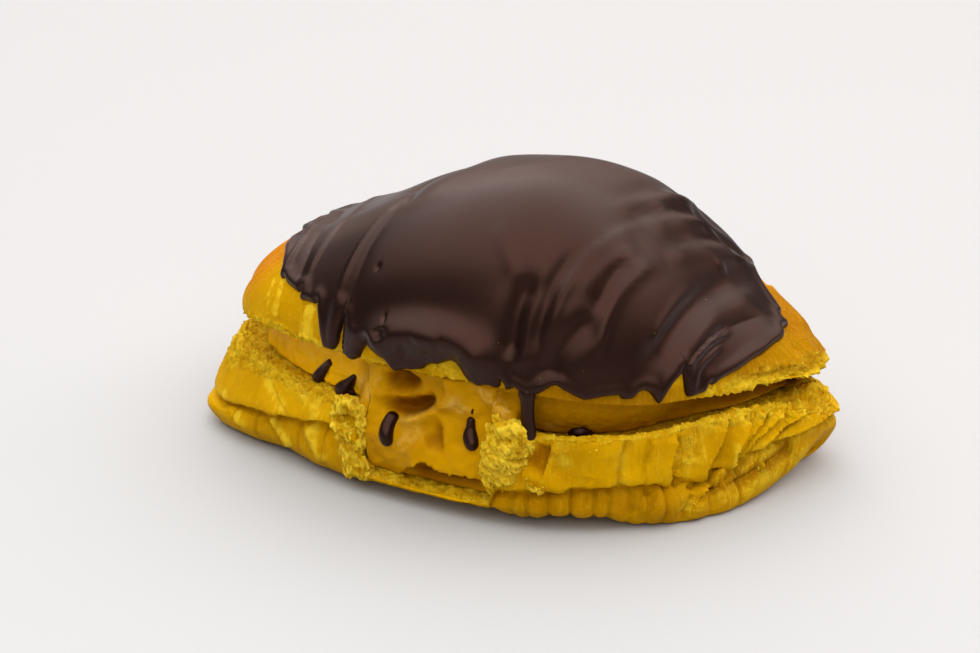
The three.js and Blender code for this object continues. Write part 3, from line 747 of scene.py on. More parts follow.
# Torn crumb on the walls: sizes of its lumps, its fibres and its pores.
LUMP_SIZE = 2.2
FIBRE_SIZE = (0.6, 0.6, 1.8)
PORE_SIZE = (1.2, 1.2, 2.4)
# Where the rim's crumb begins, as a level of the lower half's stations.
RIM_TEAR = [
    (-207, 9.7), (-110, 9.3), (-90, 9.0), (-60, 9.3), (-40, 9.5), (15, 9.5), (26, 9.8), (62, 9.8),
    (80, 9.4), (125, 9.2), (207, 9.7),
]
# How rough the torn crumb is along the outline.
TEARING = [
    (-207, 0.6), (-110, 1), (-40, 1), (15, 0.9), (28, 0.5), (64, 0.5), (76, 0.9), (125, 1.1), (207, 0.6),
]


def holes(points, size, seed):
    """Pores of torn crumb: 1 in a pore, 0 on the walls between them."""
    scaled = (points / size + seed * 7.3).reshape(-1, 3).tolist()
    near = np.array([noise.voronoi(p)[0][:2] for p in scaled]).reshape(*points.shape[:-1], 2)
    return ease((near[..., 1] - near[..., 0]) * 2.2)


def crumbled(points, amount, seed):
    """Relief of torn crumb where `amount` is above 0."""
    total = np.zeros(amount.shape)
    torn = amount > 0.03
    p = points[torn]
    relief = 0.5 * rough(p, LUMP_SIZE, seed) + 0.4 * rough(p, FIBRE_SIZE, seed + 1, 2)
    relief -= 0.3 * holes(p, PORE_SIZE, seed)
    total[torn] = relief * amount[torn]
    return total


# Painted shade: how dark the pockets of torn crumb are made.
POCKET_SHADE = 0.55
# Painted shade: how dark the dough is made inside the rim, where the lid shades it, and on the lower fold,
# which faces down.
INNER_SHADE = [(-207, 0.5), (-110, 0.1), (-60, 0.2), (-30, 0.7), (100, 0.7), (207, 0.5)]
FOLD_SHADE = [
    (-207, 0.2), (-60, 0.1), (-30, 0.1), (14, 0.65), (58, 0.65), (66, 0.1), (80, 0.2), (95, 0), (207, 0.2),
]
# Upright rolls of the lower fold: the grooves between them, and their size along the outline.
ROLL_EDGES = [-66, -58, -50, -42, -33, -24, 15, 20.5, 24, 29.5, 35, 41, 44.5, 50, 54.5, 58.5, 71, 80]
ROLL_HEIGHT = 1.3
GROOVE_WIDTH = 0.6
ROLL_SIZE = [(-207, 0.4), (-24, 0.4), (10, 1.4), (207, 1.4)]


def lower_crust():
    place = PLACES
    rings, level = lower_half_rings(place)
    out = facing(rings)
    wall_rows = (level[:, 0] >= WALL_LEVELS[0]) & (level[:, 0] <= WALL_LEVELS[1])
    canvas = Canvas(rings[wall_rows], out[wall_rows], place, rings[wall_rows][..., 2])
    grid = np.broadcast_to(place, rings.shape[:2])
    flat = np.stack([grid, rings[..., 2], 0 * grid], -1)
    band = within(level, *BAND_LEVELS)
    fold = within(level, *FOLD_LEVELS)
    inside = opening(place)
    crumb = np.clip(strokes_on(rings, out, CRUMB_STROKES, canvas), 0, 1)
    torn_rim = ease((level - curve(place, RIM_TEAR) + 0.2 * rough(flat, (2, 2, 1), 7)) / 0.2)
    crumb = np.maximum(crumb, torn_rim)
    streaks = rough(flat, STREAK_GRAIN, 1)
    relief = 0.15 * streaks * band + 0.5 * rough(flat, LUMP_GRAIN, 2) * (band + fold)
    bulge, groove = rolls(grid)
    relief = relief + fold * bulge * curve(place, ROLL_SIZE) * (1 - inside)
    panels = strokes_on(rings, out, LOWER_STROKES, canvas)
    tearing = curve(place, TEARING)[None, :]
    relief = relief + panels + 0.7 * tearing * torn_rim * rough(rings, (2.5, 2.5, 2.5), 4)
    shown = ease(level / 3 - 0.9) * ease((15 - level) / 2)
    torn = crumbled(rings, crumb * shown * tearing, 3)
    relief = (relief + torn) * shown
    skin = rings + out * relief[..., None]
    streak = np.clip(strokes_on(rings, out, STREAK_STROKES, canvas), 0, 1)
    baked = np.clip(strokes_on(rings, out, BAKED_STROKES, canvas), 0, 1)
    # Painted shade in the creases between panels, in the fold's grooves and on the fold, inside the rim and
    # in the crumb's pockets.
    deep = np.maximum(ease(-panels / 2.2), fold * np.maximum(0.8 * groove, curve(place, FOLD_SHADE))) * shown
    deep = np.maximum(deep, curve(place, INNER_SHADE) * ease(level - 11.6))
    deep = np.maximum(deep, POCKET_SHADE * ease(-torn / 0.5))
    # Painted highlights on the raised bits of torn crumb, added to the dough's pale streaks.
    streak = streak + ease(torn / 0.4)
    on_wall = Canvas(skin[wall_rows], out[wall_rows], place, skin[wall_rows][..., 2])
    fields = {"crumb": crumb, "streak": 0.5 * streaks + streak, "baked": baked, "deep": deep}
    return closed_skin("lower_crust", skin, **fields), on_wall


def rolls(place):
    """Upright rolls of the lower fold: how far they bulge, and 1 in the grooves between them."""
    edges = np.array(ROLL_EDGES, float)
    i = np.clip(np.searchsorted(edges, place) - 1, 0, len(edges) - 2)
    width = edges[i + 1] - edges[i]
    across = (place - edges[i]) / width * 2 - 1
    inside = (place > edges[0]) & (place < edges[-1])
    bulge = ROLL_HEIGHT * (np.sqrt(np.maximum(1 - across ** 2, 0)) - 0.7)
    groove = np.exp(-(1 - np.abs(across)) * width / 2 / GROOVE_WIDTH)
    return inside * bulge, inside * groove


# Folds and dents of the filling in the opening.
CREAM_STROKES = [
    (RIDGE, 2.2, 1.4, (381, 372), (374, 384), (368, 396), (364, 410), (362, 424)),
    (RIDGE, 3.0, -2.6, (386, 385), (400, 383), (414, 386)),
    (RIDGE, 2.0, -2.2, (398, 385), (408, 382), (417, 390)),
    (RIDGE, 1.8, 1.5, (372, 397), (388, 394), (405, 395), (422, 392), (432, 396)),
    (RIDGE, 2.0, -2.8, (384, 404), (398, 404), (415, 405), (432, 403), (441, 399)),
    (RIDGE, 1.4, -2.4, (398, 409), (410, 411), (420, 408), (430, 404)),
    (RIDGE, 2.0, 2.2, (399, 421), (412, 418), (424, 413), (434, 408), (443, 402), (450, 394)),
    (CREASE, 1.8, 1.0, (434, 380), (441, 390), (443, 400)),
    (RIDGE, 2.4, 1.0, (444, 374), (449, 386), (450, 400), (446, 412)),
    (RIDGE, 2.4, 1.3, (443, 404), (434, 418), (424, 432), (414, 446), (402, 462)),
    (CREASE, 2.0, 1.1, (431, 421), (421, 434), (411, 448), (402, 464)),
    (RIDGE, 3.0, -1.6, (424, 441), (432, 438), (442, 437)),
    (RIDGE, 1.8, -1.1, (434, 424), (442, 424)),
    (CREASE, 1.8, 1.0, (443, 424), (440, 432), (441, 444), (436, 458)),
    (RIDGE, 3, 1.0, (452, 416), (449, 430), (451, 446)),
    (RIDGE, 3.5, 0.8, (380, 424), (384, 446), (394, 462)),
    (RIDGE, 3, -0.7, (370, 432), (374, 450), (382, 462)),
    (STEP, 1.8, 1.8, (492, 479), (470, 476), (450, 473), (436, 467), (425, 460), (412, 465), (400, 474)),
    (RIDGE, 3.2, -2.4, (408, 476), (430, 477), (455, 482), (485, 487)),
    (RIDGE, 2.6, 1.0, (452, 393), (462, 400), (472, 408), (480, 418)),
    (CREASE, 1.8, 0.9, (470, 392), (480, 400), (490, 412), (492, 422)),
    (RIDGE, 2.6, -0.8, (458, 412), (462, 430), (458, 448)),
    (RIDGE, 2.4, 1.2, (482, 392), (494, 402), (503, 410), (506, 420)),
    (RIDGE, 2.2, -0.8, (500, 392), (508, 400), (514, 412)),
]
# Painted highlights: pale patches where the filling's sheen catches the light.
PAINTED_CREAM_HIGHLIGHTS = [
    (RIDGE, 1.7, 1, (452, 397), (460, 403), (466, 411)),
    (RIDGE, 1.3, 0.9, (478, 389), (490, 397), (501, 407), (507, 417)),
    (RIDGE, 1.2, 0.6, (396, 422), (412, 418), (428, 411), (443, 402)),
    (RIDGE, 1.2, 0.5, (366, 402), (372, 388), (380, 375)),
    (RIDGE, 2.0, 0.5, (356, 384), (366, 380), (362, 392)),
    (RIDGE, 2.0, 0.4, (398, 448), (410, 436), (420, 428)),
    (RIDGE, 1.2, 0.7, (547, 425), (560, 425)),
]
# How deep the filling's folds and dents are, as a share of their strokes.
CREAM_FOLDS = 1.3
CREAM_LEVELS = (4, 10.5, 0.5)
CREAM_SPLITS = [3, 3, 3, 4, 6, 10, 12, 14, 14, 8, 6, 5, 4, 3, 2]


def cream():
    place = PLACES
    inside = opening(place, CREAM_ASIDE)
    above = past(place, NOTCH[0] + CREAM_ASIDE, NOTCH_SIDE) * past(place, CREAM_END, -CREAM_FADE)
    inset = mix(curve(place, CREAM_INSET), CREAM_FORWARD, above)
    spread = curve(place, CREAM_SPREAD)
    floor = CUT_FACE + CREAM_GAP
    top = wall(place, -inset, 0.0)
    roof = lid_height(top[..., 0], top[..., 1]) - ROOF_GAP
    sill = NOTCH_FLOOR + CREAM_GAP
    stations = [
        towards_hub(place, 0, floor), towards_hub(place, 0.4, floor),
        wall(place, -np.maximum(NOTCH_DEPTH + 1.5, inset + 4), floor),
        wall(place, -np.maximum(NOTCH_DEPTH - 0.5, inset + 3), mix(floor, sill, inside)),
        wall(place, mix(-inset - 2.2 + spread, -4, inside), mix(floor, sill, inside)),
    ]
    for i, (out, height) in enumerate(CREAM_BULGE):
        share = i / (len(CREAM_BULGE) - 1)
        z = mix(mix(floor + 0.6, roof - 1.2, share), height, inside)
        plain = -inset - 1 + spread * (1 - share) ** 2
        stations.append(wall(place, mix(plain, -out, mix(inside, above, ease(share * 3))), z))
    stations.append(wall(place, -inset, roof - 0.5))
    for share in (1, 0.75, 0.5, 0.25, 0):
        stations.append(under_lid(towards_hub(place, share, 0.0, -inset - 2)[..., :2], -ROOF_GAP))
    rings, level = drawn(stations, CREAM_SPLITS)
    out = facing(rings)
    low, high, fade = CREAM_LEVELS
    shown = within(level, low, high, fade)
    rows = (level[:, 0] >= low) & (level[:, 0] <= high)
    before = Canvas(rings[rows], out[rows], place, rings[rows][..., 2])
    folded = CREAM_FOLDS * strokes_on(rings, out, CREAM_STROKES, before, 0.35)
    relief = 0.5 * rough(rings, 5, 5) + 0.15 * rough(rings, 1.6, 6) + folded
    skin = rings + out * (relief * shown)[..., None]
    # Painted shade in the filling's dents, and on its wall right of the opening, which lies back under the
    # lid.
    deep = np.maximum(ease(-folded / 3.0), 0.4 * ease((place - 20) / 3)[None, :])
    # Painted highlights on the filling.
    pale = np.clip(strokes_on(rings, out, PAINTED_CREAM_HIGHLIGHTS, before), 0, 1)
    # Painted light: the filling left of the opening, which the lid shades, is painted brighter.
    rich = ease((-22 - place) / 5) + 0 * level
    seen = Canvas(skin[rows], out[rows], place, skin[rows][..., 2])
    return closed_skin("cream", skin, deep=deep, pale=pale, rich=rich), seen


# Share of the folds' height that is left at the coating's edge, the height above the edge from which
# they have it all, and how far the lid's dough stays under the dome there.
EDGE_FOLDS = 0.35
FOLDS_FROM = 5
UNDER_COAT = 0.5
LID_UNDER = [0, 0.3, 0.55, 0.75, 0.88, 0.95]
LID_TOP_ROWS = 14
LID_SIDE_ROWS = 70
SHOULDER = 7.0


def dome_rows(place, top_rows, side_rows, shoulder, lowest, fine):
    """Shares and heights of rows from the hub down to a shoulder and on to the lowest height."""
    turn = share_at(place, shoulder)
    shares, heights = [], []
    for i in range(top_rows):
        shares.append(turn * np.sin(i / top_rows * math.pi / 2) ** 0.9)
        heights.append(None)
    for i in range(side_rows + 1):
        f = i / side_rows
        height = shoulder + (lowest - shoulder) * (1 - (1 - f) ** fine)
        heights.append(height)
        shares.append(share_at(place, np.maximum(height, 0)))
    return shares, heights


LID_STROKES = [
    (RIDGE, 5, 1.3, (766, 286), (780, 298), (794, 312), (806, 328)),
    (CREASE, 1.6, 1.2, (792, 344), (803, 350), (812, 360), (818, 374)),
    (RIDGE, 2, 0.8, (800, 335), (812, 350), (821, 372)),
    (CREASE, 1.5, 0.8, (806, 322), (818, 342), (824, 366)),
    (STEP, 1.5, 0.5, (267, 316), (270, 298), (280, 272)),
    (STEP, 1.3, 0.4, (278, 318), (282, 298), (287, 282)),
    (STEP, 1.3, 0.4, (303, 338), (303, 318), (305, 303)),
    (CREASE, 1.2, 0.4, (318, 342), (317, 320), (316, 306)),
]
LID_STREAKS = [
    (RIDGE, 0.9, 1, (276, 276), (269, 298), (267, 315)),
    (RIDGE, 0.8, 1, (284, 279), (277, 300), (274, 316)),
    (RIDGE, 2.0, 1, (312, 305), (308, 322), (307, 340)),
    (RIDGE, 1.2, 0.6, (800, 352), (812, 366), (816, 374)),
]
LID_CRUMBS = [
    (RIDGE, 1.8, 1, (728, 388), (750, 381), (775, 371), (795, 364)),
    (RIDGE, 2.5, 1, (384, 366), (395, 376)),
    (RIDGE, 3, 1, (430, 368), (450, 368), (460, 374)),
]


# How far the lid's lower edge rises at its right end.
LID_ARCH = [(-207, 0), (78, 0), (90, 1.2), (102, 2), (114, 1.6), (128, 0), (207, 0)]
# How far its torn rags hang down.
LID_RAGS = [
    (-207, 0.6), (-110, 0.8), (-70, 1.6), (-55, 0.6), (-24, 1.6), (0, 1.4), (16, 0.8), (22, 0), (62, 0),
    (70, 0.8), (78, 1.3), (110, 1.3), (140, 0.8), (207, 0.6),
]
# How high the torn crumb reaches above the lid's cut face.
LID_CRUMB = [(-207, 2.6), (66, 2.6), (76, 4), (90, 5.5), (103, 6.5), (114, 6), (124, 3), (207, 2.6)]
# How much of the lid's lower edge is torn to crumb.
LID_TORN = [(-207, 1), (12, 1), (22, 0), (62, 0), (72, 1), (207, 1)]


def ragged(place):
    """How far the lid's torn lower edge hangs below its cut face."""
    flat = np.stack([place, 0 * place, 0 * place], -1)
    amount = curve(place, LID_RAGS)
    return amount * np.maximum(0.6 * rough(flat, 3.5, 12) + 0.7 * rough(flat, 1.2, 13, 2) + 0.35, 0)


def lid_crust():
    place = PLACES
    edge = edge_height(place)
    shoulder = curve(place, COAT_EDGE) + SHOULDER
    shares, _ = dome_rows(place, LID_TOP_ROWS, LID_SIDE_ROWS, shoulder, 0 * place, 1.0)
    share = np.array(shares)[::-1]
    grid = np.broadcast_to(place[None, :], share.shape)
    dome = smooth_dome(grid, share)
    out = dome_normal(grid, share)
    height = above_cut(dome)
    covered = ease((height - edge) / 1.6)
    flat = np.stack([grid, height, 0 * grid], -1)
    torn = curve(place, LID_CRUMB) - height + 1.2 * rough(flat, (3, 3, 1), 8)
    crumb = ease(torn / 1.2) * curve(place, LID_TORN)
    crumb = np.maximum(crumb, np.clip(strokes_on(dome, out, LID_CRUMBS, DOME), 0, 1)) * (1 - covered)
    streaks = rough(flat, (1.1, 12, 1), 9)
    relief = 0.2 * streaks + crumbled(dome, crumb * curve(place, TEARING), 10)
    relief = relief + strokes_on(dome, out, LID_STROKES, DOME)
    beneath = folds_at(share) * mix(EDGE_FOLDS, 1, ease((height - edge) / FOLDS_FROM)) - UNDER_COAT
    relief = mix(relief, beneath, covered)
    dome = dome + out * relief[..., None]
    arch = curve(place, LID_ARCH)
    hang = ragged(place) - arch
    dome[..., 2] -= hang * np.clip(1 - height / 3, 0, 1) ** 1.5
    under = []
    for f in LID_UNDER:
        under.append(under_lid(lid_plan(place, np.full(place.shape, f)), arch * ease((f - 0.4) / 0.5)))
    rings = np.concatenate([np.array(under), dome])
    pad = np.ones((len(under), len(place)))
    marked = np.clip(strokes_on(dome, out, LID_STREAKS, DOME), 0, 1)
    # The lid's underside gets painted shade.
    return closed_skin(
        "lid_crust", rings, crumb=np.concatenate([pad, crumb]),
        streak=np.concatenate([0 * pad, 0.5 * streaks + marked]),
        baked=np.concatenate([0 * pad, baked_lid(grid, height)]),
        deep=np.concatenate([0.5 * pad, lid_shade(place, height)]),
    )


def lid_shade(place, height):
    """Painted shade along the lid's lower edge in front, which faces down; the dough is also made darker at
    its right end.
    """
    front = 0.8 * (1 - curve(place, LID_TORN)) * ease((6 - height) / 3)
    right = 0.85 * within(place, 72, 140, 10) * ease((height - 2) / 2)
    return np.maximum(front, right)


def baked_lid(place, height):
    left = ease((-60 - place) / 14) * ease((height - 2) / 7)
    right = 0.6 * ease((place - 104) / 14) * ease((height - 6) / 6)
    return np.maximum(left, right)


COAT_TOP_ROWS = 50
COAT_SIDE_ROWS = 62
COAT_INNER_ROWS = 40
# Thickness of the chocolate, the bead along its edge, and how far it sinks into the lid.
THICKNESS = 1.3
BEAD_RADIUS = 1.3
BEAD_WIDTH = 1.6
BEAD_SWELL = 0.5
FOLDS_WITHIN = 4
SINK = 0.3
INNER_SINK = 0.5
RIM_STEPS = 6
FAR = 50.0


def chocolate_coat():
    place = PLACES
    edge = edge_height(place)
    shoulder = curve(place, COAT_EDGE) + SHOULDER
    shares, heights = dome_rows(place, COAT_TOP_ROWS, COAT_SIDE_ROWS, shoulder, edge, 1.7)
    share = np.array(shares)
    grid = np.broadcast_to(place[None, :], share.shape)
    base = smooth_dome(grid, share)
    hang = np.zeros(share.shape)
    for i, height in enumerate(heights):
        if height is not None:
            hang[i] = np.minimum(height, 0)
    base[..., 2] += hang
    out = dome_normal(grid, share)
    rim = base[-1]
    reach = kdtree.KDTree(len(rim) * RIM_STEPS)
    loop = np.concatenate([rim, rim[:1]])
    for i, p in enumerate(spline(loop, RIM_STEPS)[:-1].tolist()):
        reach.insert(p, i)
    reach.balance()
    gap = np.full(share.shape, FAR)
    for i in range(COAT_TOP_ROWS, len(share)):
        gap[i] = [reach.find(p)[2] for p in base[i].tolist()]
    thick = THICKNESS + BEAD_SWELL * bell(gap / BEAD_WIDTH - 1)
    tuck = 1 - np.minimum(gap / BEAD_RADIUS, 1)
    round_edge = np.sqrt(np.maximum(1 - tuck ** 2, 0))
    fade = ease(gap / FOLDS_WITHIN)
    swell = -SINK + (thick + SINK) * round_edge + folds_at(share) * mix(EDGE_FOLDS, 1, fade)
    outer = base + out * swell[..., None]
    inner_share = share[-1] * np.sin(np.linspace(0, 1, COAT_INNER_ROWS) * math.pi / 2)[:, None]
    inner_grid = np.broadcast_to(place[None, :], inner_share.shape)
    depth = folds_at(inner_share) - INNER_SINK
    inner = smooth_dome(inner_grid, inner_share) + dome_normal(inner_grid, inner_share) * depth[..., None]
    inner[-1, :, 2] += hang[-1]
    rings = np.concatenate([inner, outer[::-1]])
    return closed_skin("chocolate_coat", rings)


# Chains of balls that melt into one body: a pixel, a radius and a lift off the skin for each.
DROPS = [
    [(330, 362, 0.9, 0.2), (325, 368, 1.3, 0.3), (319, 376, 1.6, 0.3), (316, 380, 1.4, 0.3)],
    [(354, 377, 0.8, 0.3), (349, 384, 1.6, 0.3), (343, 391, 2.3, 0.2), (340, 395, 1.6, 0)],
    [(346, 393, 2, 0.2), (350, 396, 1.4, 0.2)],
    [(392, 418, 1.8, 0.2), (388, 426, 1.9, 0.3), (386, 434, 1.9, 0.3), (387, 440, 1.6, 0.3)],
    [(471, 421, 1.1, 0.3), (471, 428, 1.3, 0.3), (471, 437, 2, 0.3), (472, 444, 1.8, 0.3)],
    [(573, 434, 1.4, 0), (580, 432, 2.4, 0), (587, 434, 1.5, 0)],
    [(473, 409, 0.35, 0), (472, 413, 0.45, 0)],
]
RIGHT_TEAR = [
    [(496, 417, 0.7, 2.2), (497, 422, 1.3, 2), (506, 430, 2.6, 1.5), (517, 432, 2.6, 1), (526, 440, 2.4, 0)],
    [(489, 426, 0.8, 1.6), (493, 436, 1.8, 1.6), (502, 444, 3.6, 1), (515, 446, 3.6, 0),
     (526, 447, 2.2, -0.6)],
    [(489, 446, 1.6, 2), (497, 458, 3.6, 1.6), (508, 462, 3.2, 0.6), (518, 462, 2.4, -0.6)],
    [(487, 460, 1.4, 2.2), (489, 470, 2.2, 2.2), (498, 474, 3.0, 1.2), (508, 476, 2.6, 0)],
    [(490, 478, 1.8, 2), (491, 486, 1.4, 2), (491, 493, 0.7, 2)],
    [(533, 484, 1.4, 0.4), (537, 489, 1.2, 0.6), (540, 494, 0.6, 0.6)],
]
LEFT_TEAR = [
    [(340, 404, 2.2, 1), (349, 404, 2.4, 1.2), (358, 409, 1.8, 1.2)],
    [(336, 412, 1.8, 1.4), (338, 422, 1.8, 1.6), (341, 434, 1.5, 1.6), (344, 446, 1.3, 1.8)],
    [(344, 447, 1.2, 1.8), (351, 452, 1.1, 1.8), (358, 450, 1.2, 1.6), (362, 442, 1.3, 1.2),
     (363, 428, 1.5, 1), (361, 416, 1.7, 1.2)],
    [(343, 452, 1.3, 1.6), (346, 462, 1.5, 1.2), (350, 472, 1.6, 0.6)],
    [(358, 453, 1.0, 1.4), (363, 461, 1.1, 1.2), (367, 468, 1.0, 0.8)],
    [(349, 428, 3.4, -1.2), (352, 440, 3.4, -1.4), (356, 460, 3.4, -1.2), (364, 468, 3.2, -1.6)],
]
CHAIN_STEPS = 5


def front_canvas():
    """The lower half's front wall as it was before it tore."""
    places = np.arange(-110, 120, 0.8)
    heights = np.arange(1, 31, 0.8)
    out = curve(places, BAND_OUT) - 0.5 * curve(places, LEAN)
    rings = np.array([wall(places, out, z) for z in heights])
    return Canvas(rings, facing(rings), places, rings[..., 2])


def lifted(canvas, u, v, lift):
    """The point of a skin at a pixel, moved towards the camera."""
    point = canvas.find((u, v))[:3]
    return point + (EYE - point) / np.linalg.norm(EYE - point) * lift


def ball(centre, radius):
    bpy.ops.mesh.primitive_uv_sphere_add(segments=20, ring_count=12, radius=radius, location=(0, 0, 0))
    made = bpy.context.object
    place_points(made, points_of(made) + centre)
    return made


def balls(chains, canvas):
    """A ball for each step along the marks of each chain."""
    bodies = []
    for marks in chains:
        rows = [[*lifted(canvas, u, v, lift), radius] for u, v, radius, lift in marks]
        bodies += [ball(row[:3], row[3]) for row in spline(rows, CHAIN_STEPS)]
    return bodies


def melted(bodies, name, voxel, smoothing):
    """Bodies joined into one closed skin."""
    whole = joined(bodies, name)
    fuse = whole.modifiers.new("fuse", "REMESH")
    fuse.mode = "VOXEL"
    fuse.voxel_size = voxel * METRES
    bpy.ops.object.modifier_apply(modifier=fuse.name)
    even = whole.modifiers.new("even", "SMOOTH")
    even.factor = 0.5
    even.iterations = smoothing
    bpy.ops.object.modifier_apply(modifier=even.name)
    bpy.ops.object.shade_smooth()
    return whole


# Loose crumbs: a pixel, how far they are strewn around it in pixels, and how many.
CRUMB_SPOTS = [
    (560, 441, 12, 9), (600, 439, 14, 10), (640, 436, 14, 10), (690, 428, 14, 12), (740, 416, 14, 12),
    (505, 486, 14, 10), (538, 488, 8, 10), (350, 404, 10, 9), (362, 452, 9, 7), (300, 392, 12, 8),
    (262, 358, 12, 8), (790, 405, 14, 12), (820, 400, 12, 10), (760, 462, 16, 14), (700, 505, 8, 8),
]
COAT_SPOTS = [
    (502, 240, 3, 1), (466, 264, 3, 1), (500, 345, 4, 2), (612, 262, 3, 1), (700, 262, 4, 2),
    (665, 222, 3, 1), (540, 382, 4, 2), (520, 388, 3, 2), (585, 372, 4, 1), (704, 300, 4, 1),
    (655, 330, 4, 1),
]
CRUMB_SIZES = (0.12, 0.3)
CRUMB_LUMPS = (0.6, 1.3)


def loose_crumbs(wall):
    chance = np.random.default_rng(5)
    bodies = []
    for canvas, spots, size, lift in ((wall, CRUMB_SPOTS, 1, 0.1), (DOME, COAT_SPOTS, 0.35, 1.4)):
        for u, v, strewn, count in spots:
            for mark in chance.normal((u, v), strewn / 2, (count, 2)):
                radius = size * chance.uniform(*CRUMB_SIZES)
                bpy.ops.mesh.primitive_ico_sphere_add(subdivisions=1, radius=radius, location=(0, 0, 0))
                crumb = bpy.context.object
                lumpy = points_of(crumb) * chance.uniform(*CRUMB_LUMPS, (len(crumb.data.vertices), 1))
                place_points(crumb, lumpy + lifted(canvas, *mark, lift))
                bodies.append(crumb)
    whole = joined(bodies, "loose_crumbs")
    note(whole, "crumb", np.ones(len(whole.data.vertices)))
    note(whole, "streak", np.ones(len(whole.data.vertices)))
    return whole


# The torn lumps beside the opening: sizes of their lumps, fibres and pores. The fibres lean to the left.
TORN_LUMP_SIZE = 2.4
LONG_FIBRE_SIZE = (0.6, 0.6, 5.0)
LONG_PORE_SIZE = (1.1, 1.1, 2.6)
FIBRE_TURN = np.array([[0.87, 0, -0.5], [0, 1, 0], [0.5, 0, 0.87]])


def torn_lump(name, chains, canvas, seed):
    lump = melted(balls(chains, canvas), name, voxel=0.3, smoothing=2)
    flat = np.empty(len(lump.data.vertices) * 3, np.float32)
    lump.data.vertices.foreach_get("normal", flat)
    normal = flat.reshape(-1, 3).astype(float)
    points = points_of(lump) / METRES + np.append(CENTRE, 0)
    slanted = points @ FIBRE_TURN
    relief = 0.7 * rough(slanted, LONG_FIBRE_SIZE, seed, 2) + 0.6 * rough(points, TORN_LUMP_SIZE, seed + 1)
    relief -= 0.4 * holes(slanted, LONG_PORE_SIZE, seed)
    place_points(lump, points + normal * relief[:, None])
    note(lump, "crumb", np.ones(len(points)))
    # Painted shade in the lump's pores, and painted highlights on its raised fibres.
    note(lump, "deep", POCKET_SHADE * ease(-(relief + 0.2) / 0.6))
    note(lump, "streak", ease(relief / 0.5))
    return lump


# The strand that hangs over the opening, from the coating to the lower half.
STRAND_TOP = (527, 393)
STRAND_FOOT = (529, 435)
STRAND_RADII = [2.2, 1.8, 1.65, 1.65, 1.7, 1.9, 2.1]
STRAND_BALLS = 25
STRAND_SLANT = 0.5


def chocolate_drops(filling, front):
    bodies = balls(DROPS, filling)
    top = DOME.find(STRAND_TOP)[:3]
    foot = front.find(STRAND_FOOT)[:3]
    foot[:2] = mix(top[:2], foot[:2], STRAND_SLANT)
    for share in np.linspace(0, 1, STRAND_BALLS):
        radius = np.interp(share, np.linspace(0, 1, len(STRAND_RADII)), STRAND_RADII)
        bodies.append(ball(mix(top, foot, share), radius))
    return melted(bodies, "chocolate_drops", voxel=0.25, smoothing=8)


def joined(pieces, name):
    bpy.ops.object.select_all(action="DESELECT")
    for piece in pieces:
        piece.select_set(True)
    bpy.context.view_layer.objects.active = pieces[0]
    bpy.ops.object.join()
    whole = bpy.context.object
    whole.name = whole.data.name = name
    return whole


class Socket:
    """A node socket that sums and products can be written with."""

    def __init__(self, finish, socket):
        self.finish = finish
        self.socket = socket

    def math(self, operation, other):
        return self.finish.node("ShaderNodeMath", {"operation": operation}, {0: self, 1: other})

    def __radd__(self, other):
        return self.math("ADD", other)

    def __mul__(self, other):
        return self.math("MULTIPLY", other)

    __rmul__ = __mul__


class Finish:
    """A material whose nodes are made one call at a time."""

    def __init__(self, name):
        self.material = bpy.data.materials.new(name)
        self.material.use_nodes = True
        self.tree = self.material.node_tree
        self.shader = self.tree.nodes["Principled BSDF"]
        coordinates = self.tree.nodes.new("ShaderNodeTexCoord")
        self.object = Socket(self, coordinates.outputs["Object"])

    def node(self, kind, settings, inputs, output=0):
        made = self.tree.nodes.new(kind)
        for key, value in settings.items():
            setattr(made, key, value)
        for key, value in inputs.items():
            self.feed(made.inputs[key], value)
        return Socket(self, made.outputs[output])

    def feed(self, socket, value):
        if isinstance(value, Socket):
            self.tree.links.new(value.socket, socket)
        else:
            socket.default_value = value

    def attribute(self, name):
        return self.node("ShaderNodeAttribute", {"attribute_name": name}, {}, "Fac")

    def noise(self, scale, detail=4, roughness=0.5, stretch=None):
        vector = self.object
        if stretch:
            vector = self.node("ShaderNodeMapping", {}, {"Vector": vector, "Scale": stretch})
        inputs = {"Vector": vector, "Scale": scale, "Detail": detail, "Roughness": roughness}
        return self.node("ShaderNodeTexNoise", {}, inputs)

    def blend(self, factor, a, b):
        made = self.tree.nodes.new("ShaderNodeMix")
        made.data_type = "RGBA"
        self.feed(made.inputs["Factor"], factor)
        for key, value in ((6, a), (7, b)):
            self.feed(made.inputs[key], value)
        return Socket(self, made.outputs[2])

    def level(self, value, low, high):
        """0 at low, 1 at high."""
        inputs = {"Value": value, "From Min": low, "From Max": high}
        return self.node("ShaderNodeMapRange", {"interpolation_type": "SMOOTHSTEP"}, inputs)

    def bump(self, height, depth, below=None):
        inputs = {"Height": height, "Distance": depth, "Strength": 1.0}
        if below:
            inputs["Normal"] = below
        return self.node("ShaderNodeBump", {}, inputs)

    def set(self, **values):
        for name, value in values.items():
            self.feed(self.shader.inputs[name.replace("_", " ")], value)
        return self.material


# Colours, as red, green, blue and 1. Below, the scale of a noise is grains in a metre, and the depth
# of a bump is metres.
YELLOW = (0.62, 0.33, 0, 1)
DEEP_YELLOW = (0.50, 0.25, 0, 1)
PALE = (0.74, 0.50, 0.02, 1)
TORN_PALE = (0.90, 0.64, 0.04, 1)
# The colour that painted shade darkens dough and filling towards.
SHADE = (0.24, 0.08, 0, 1)
BAKED = (0.50, 0.17, 0, 1)
CUSTARD = (0.55, 0.27, 0, 1)
DEEP_CUSTARD = (0.46, 0.21, 0, 1)
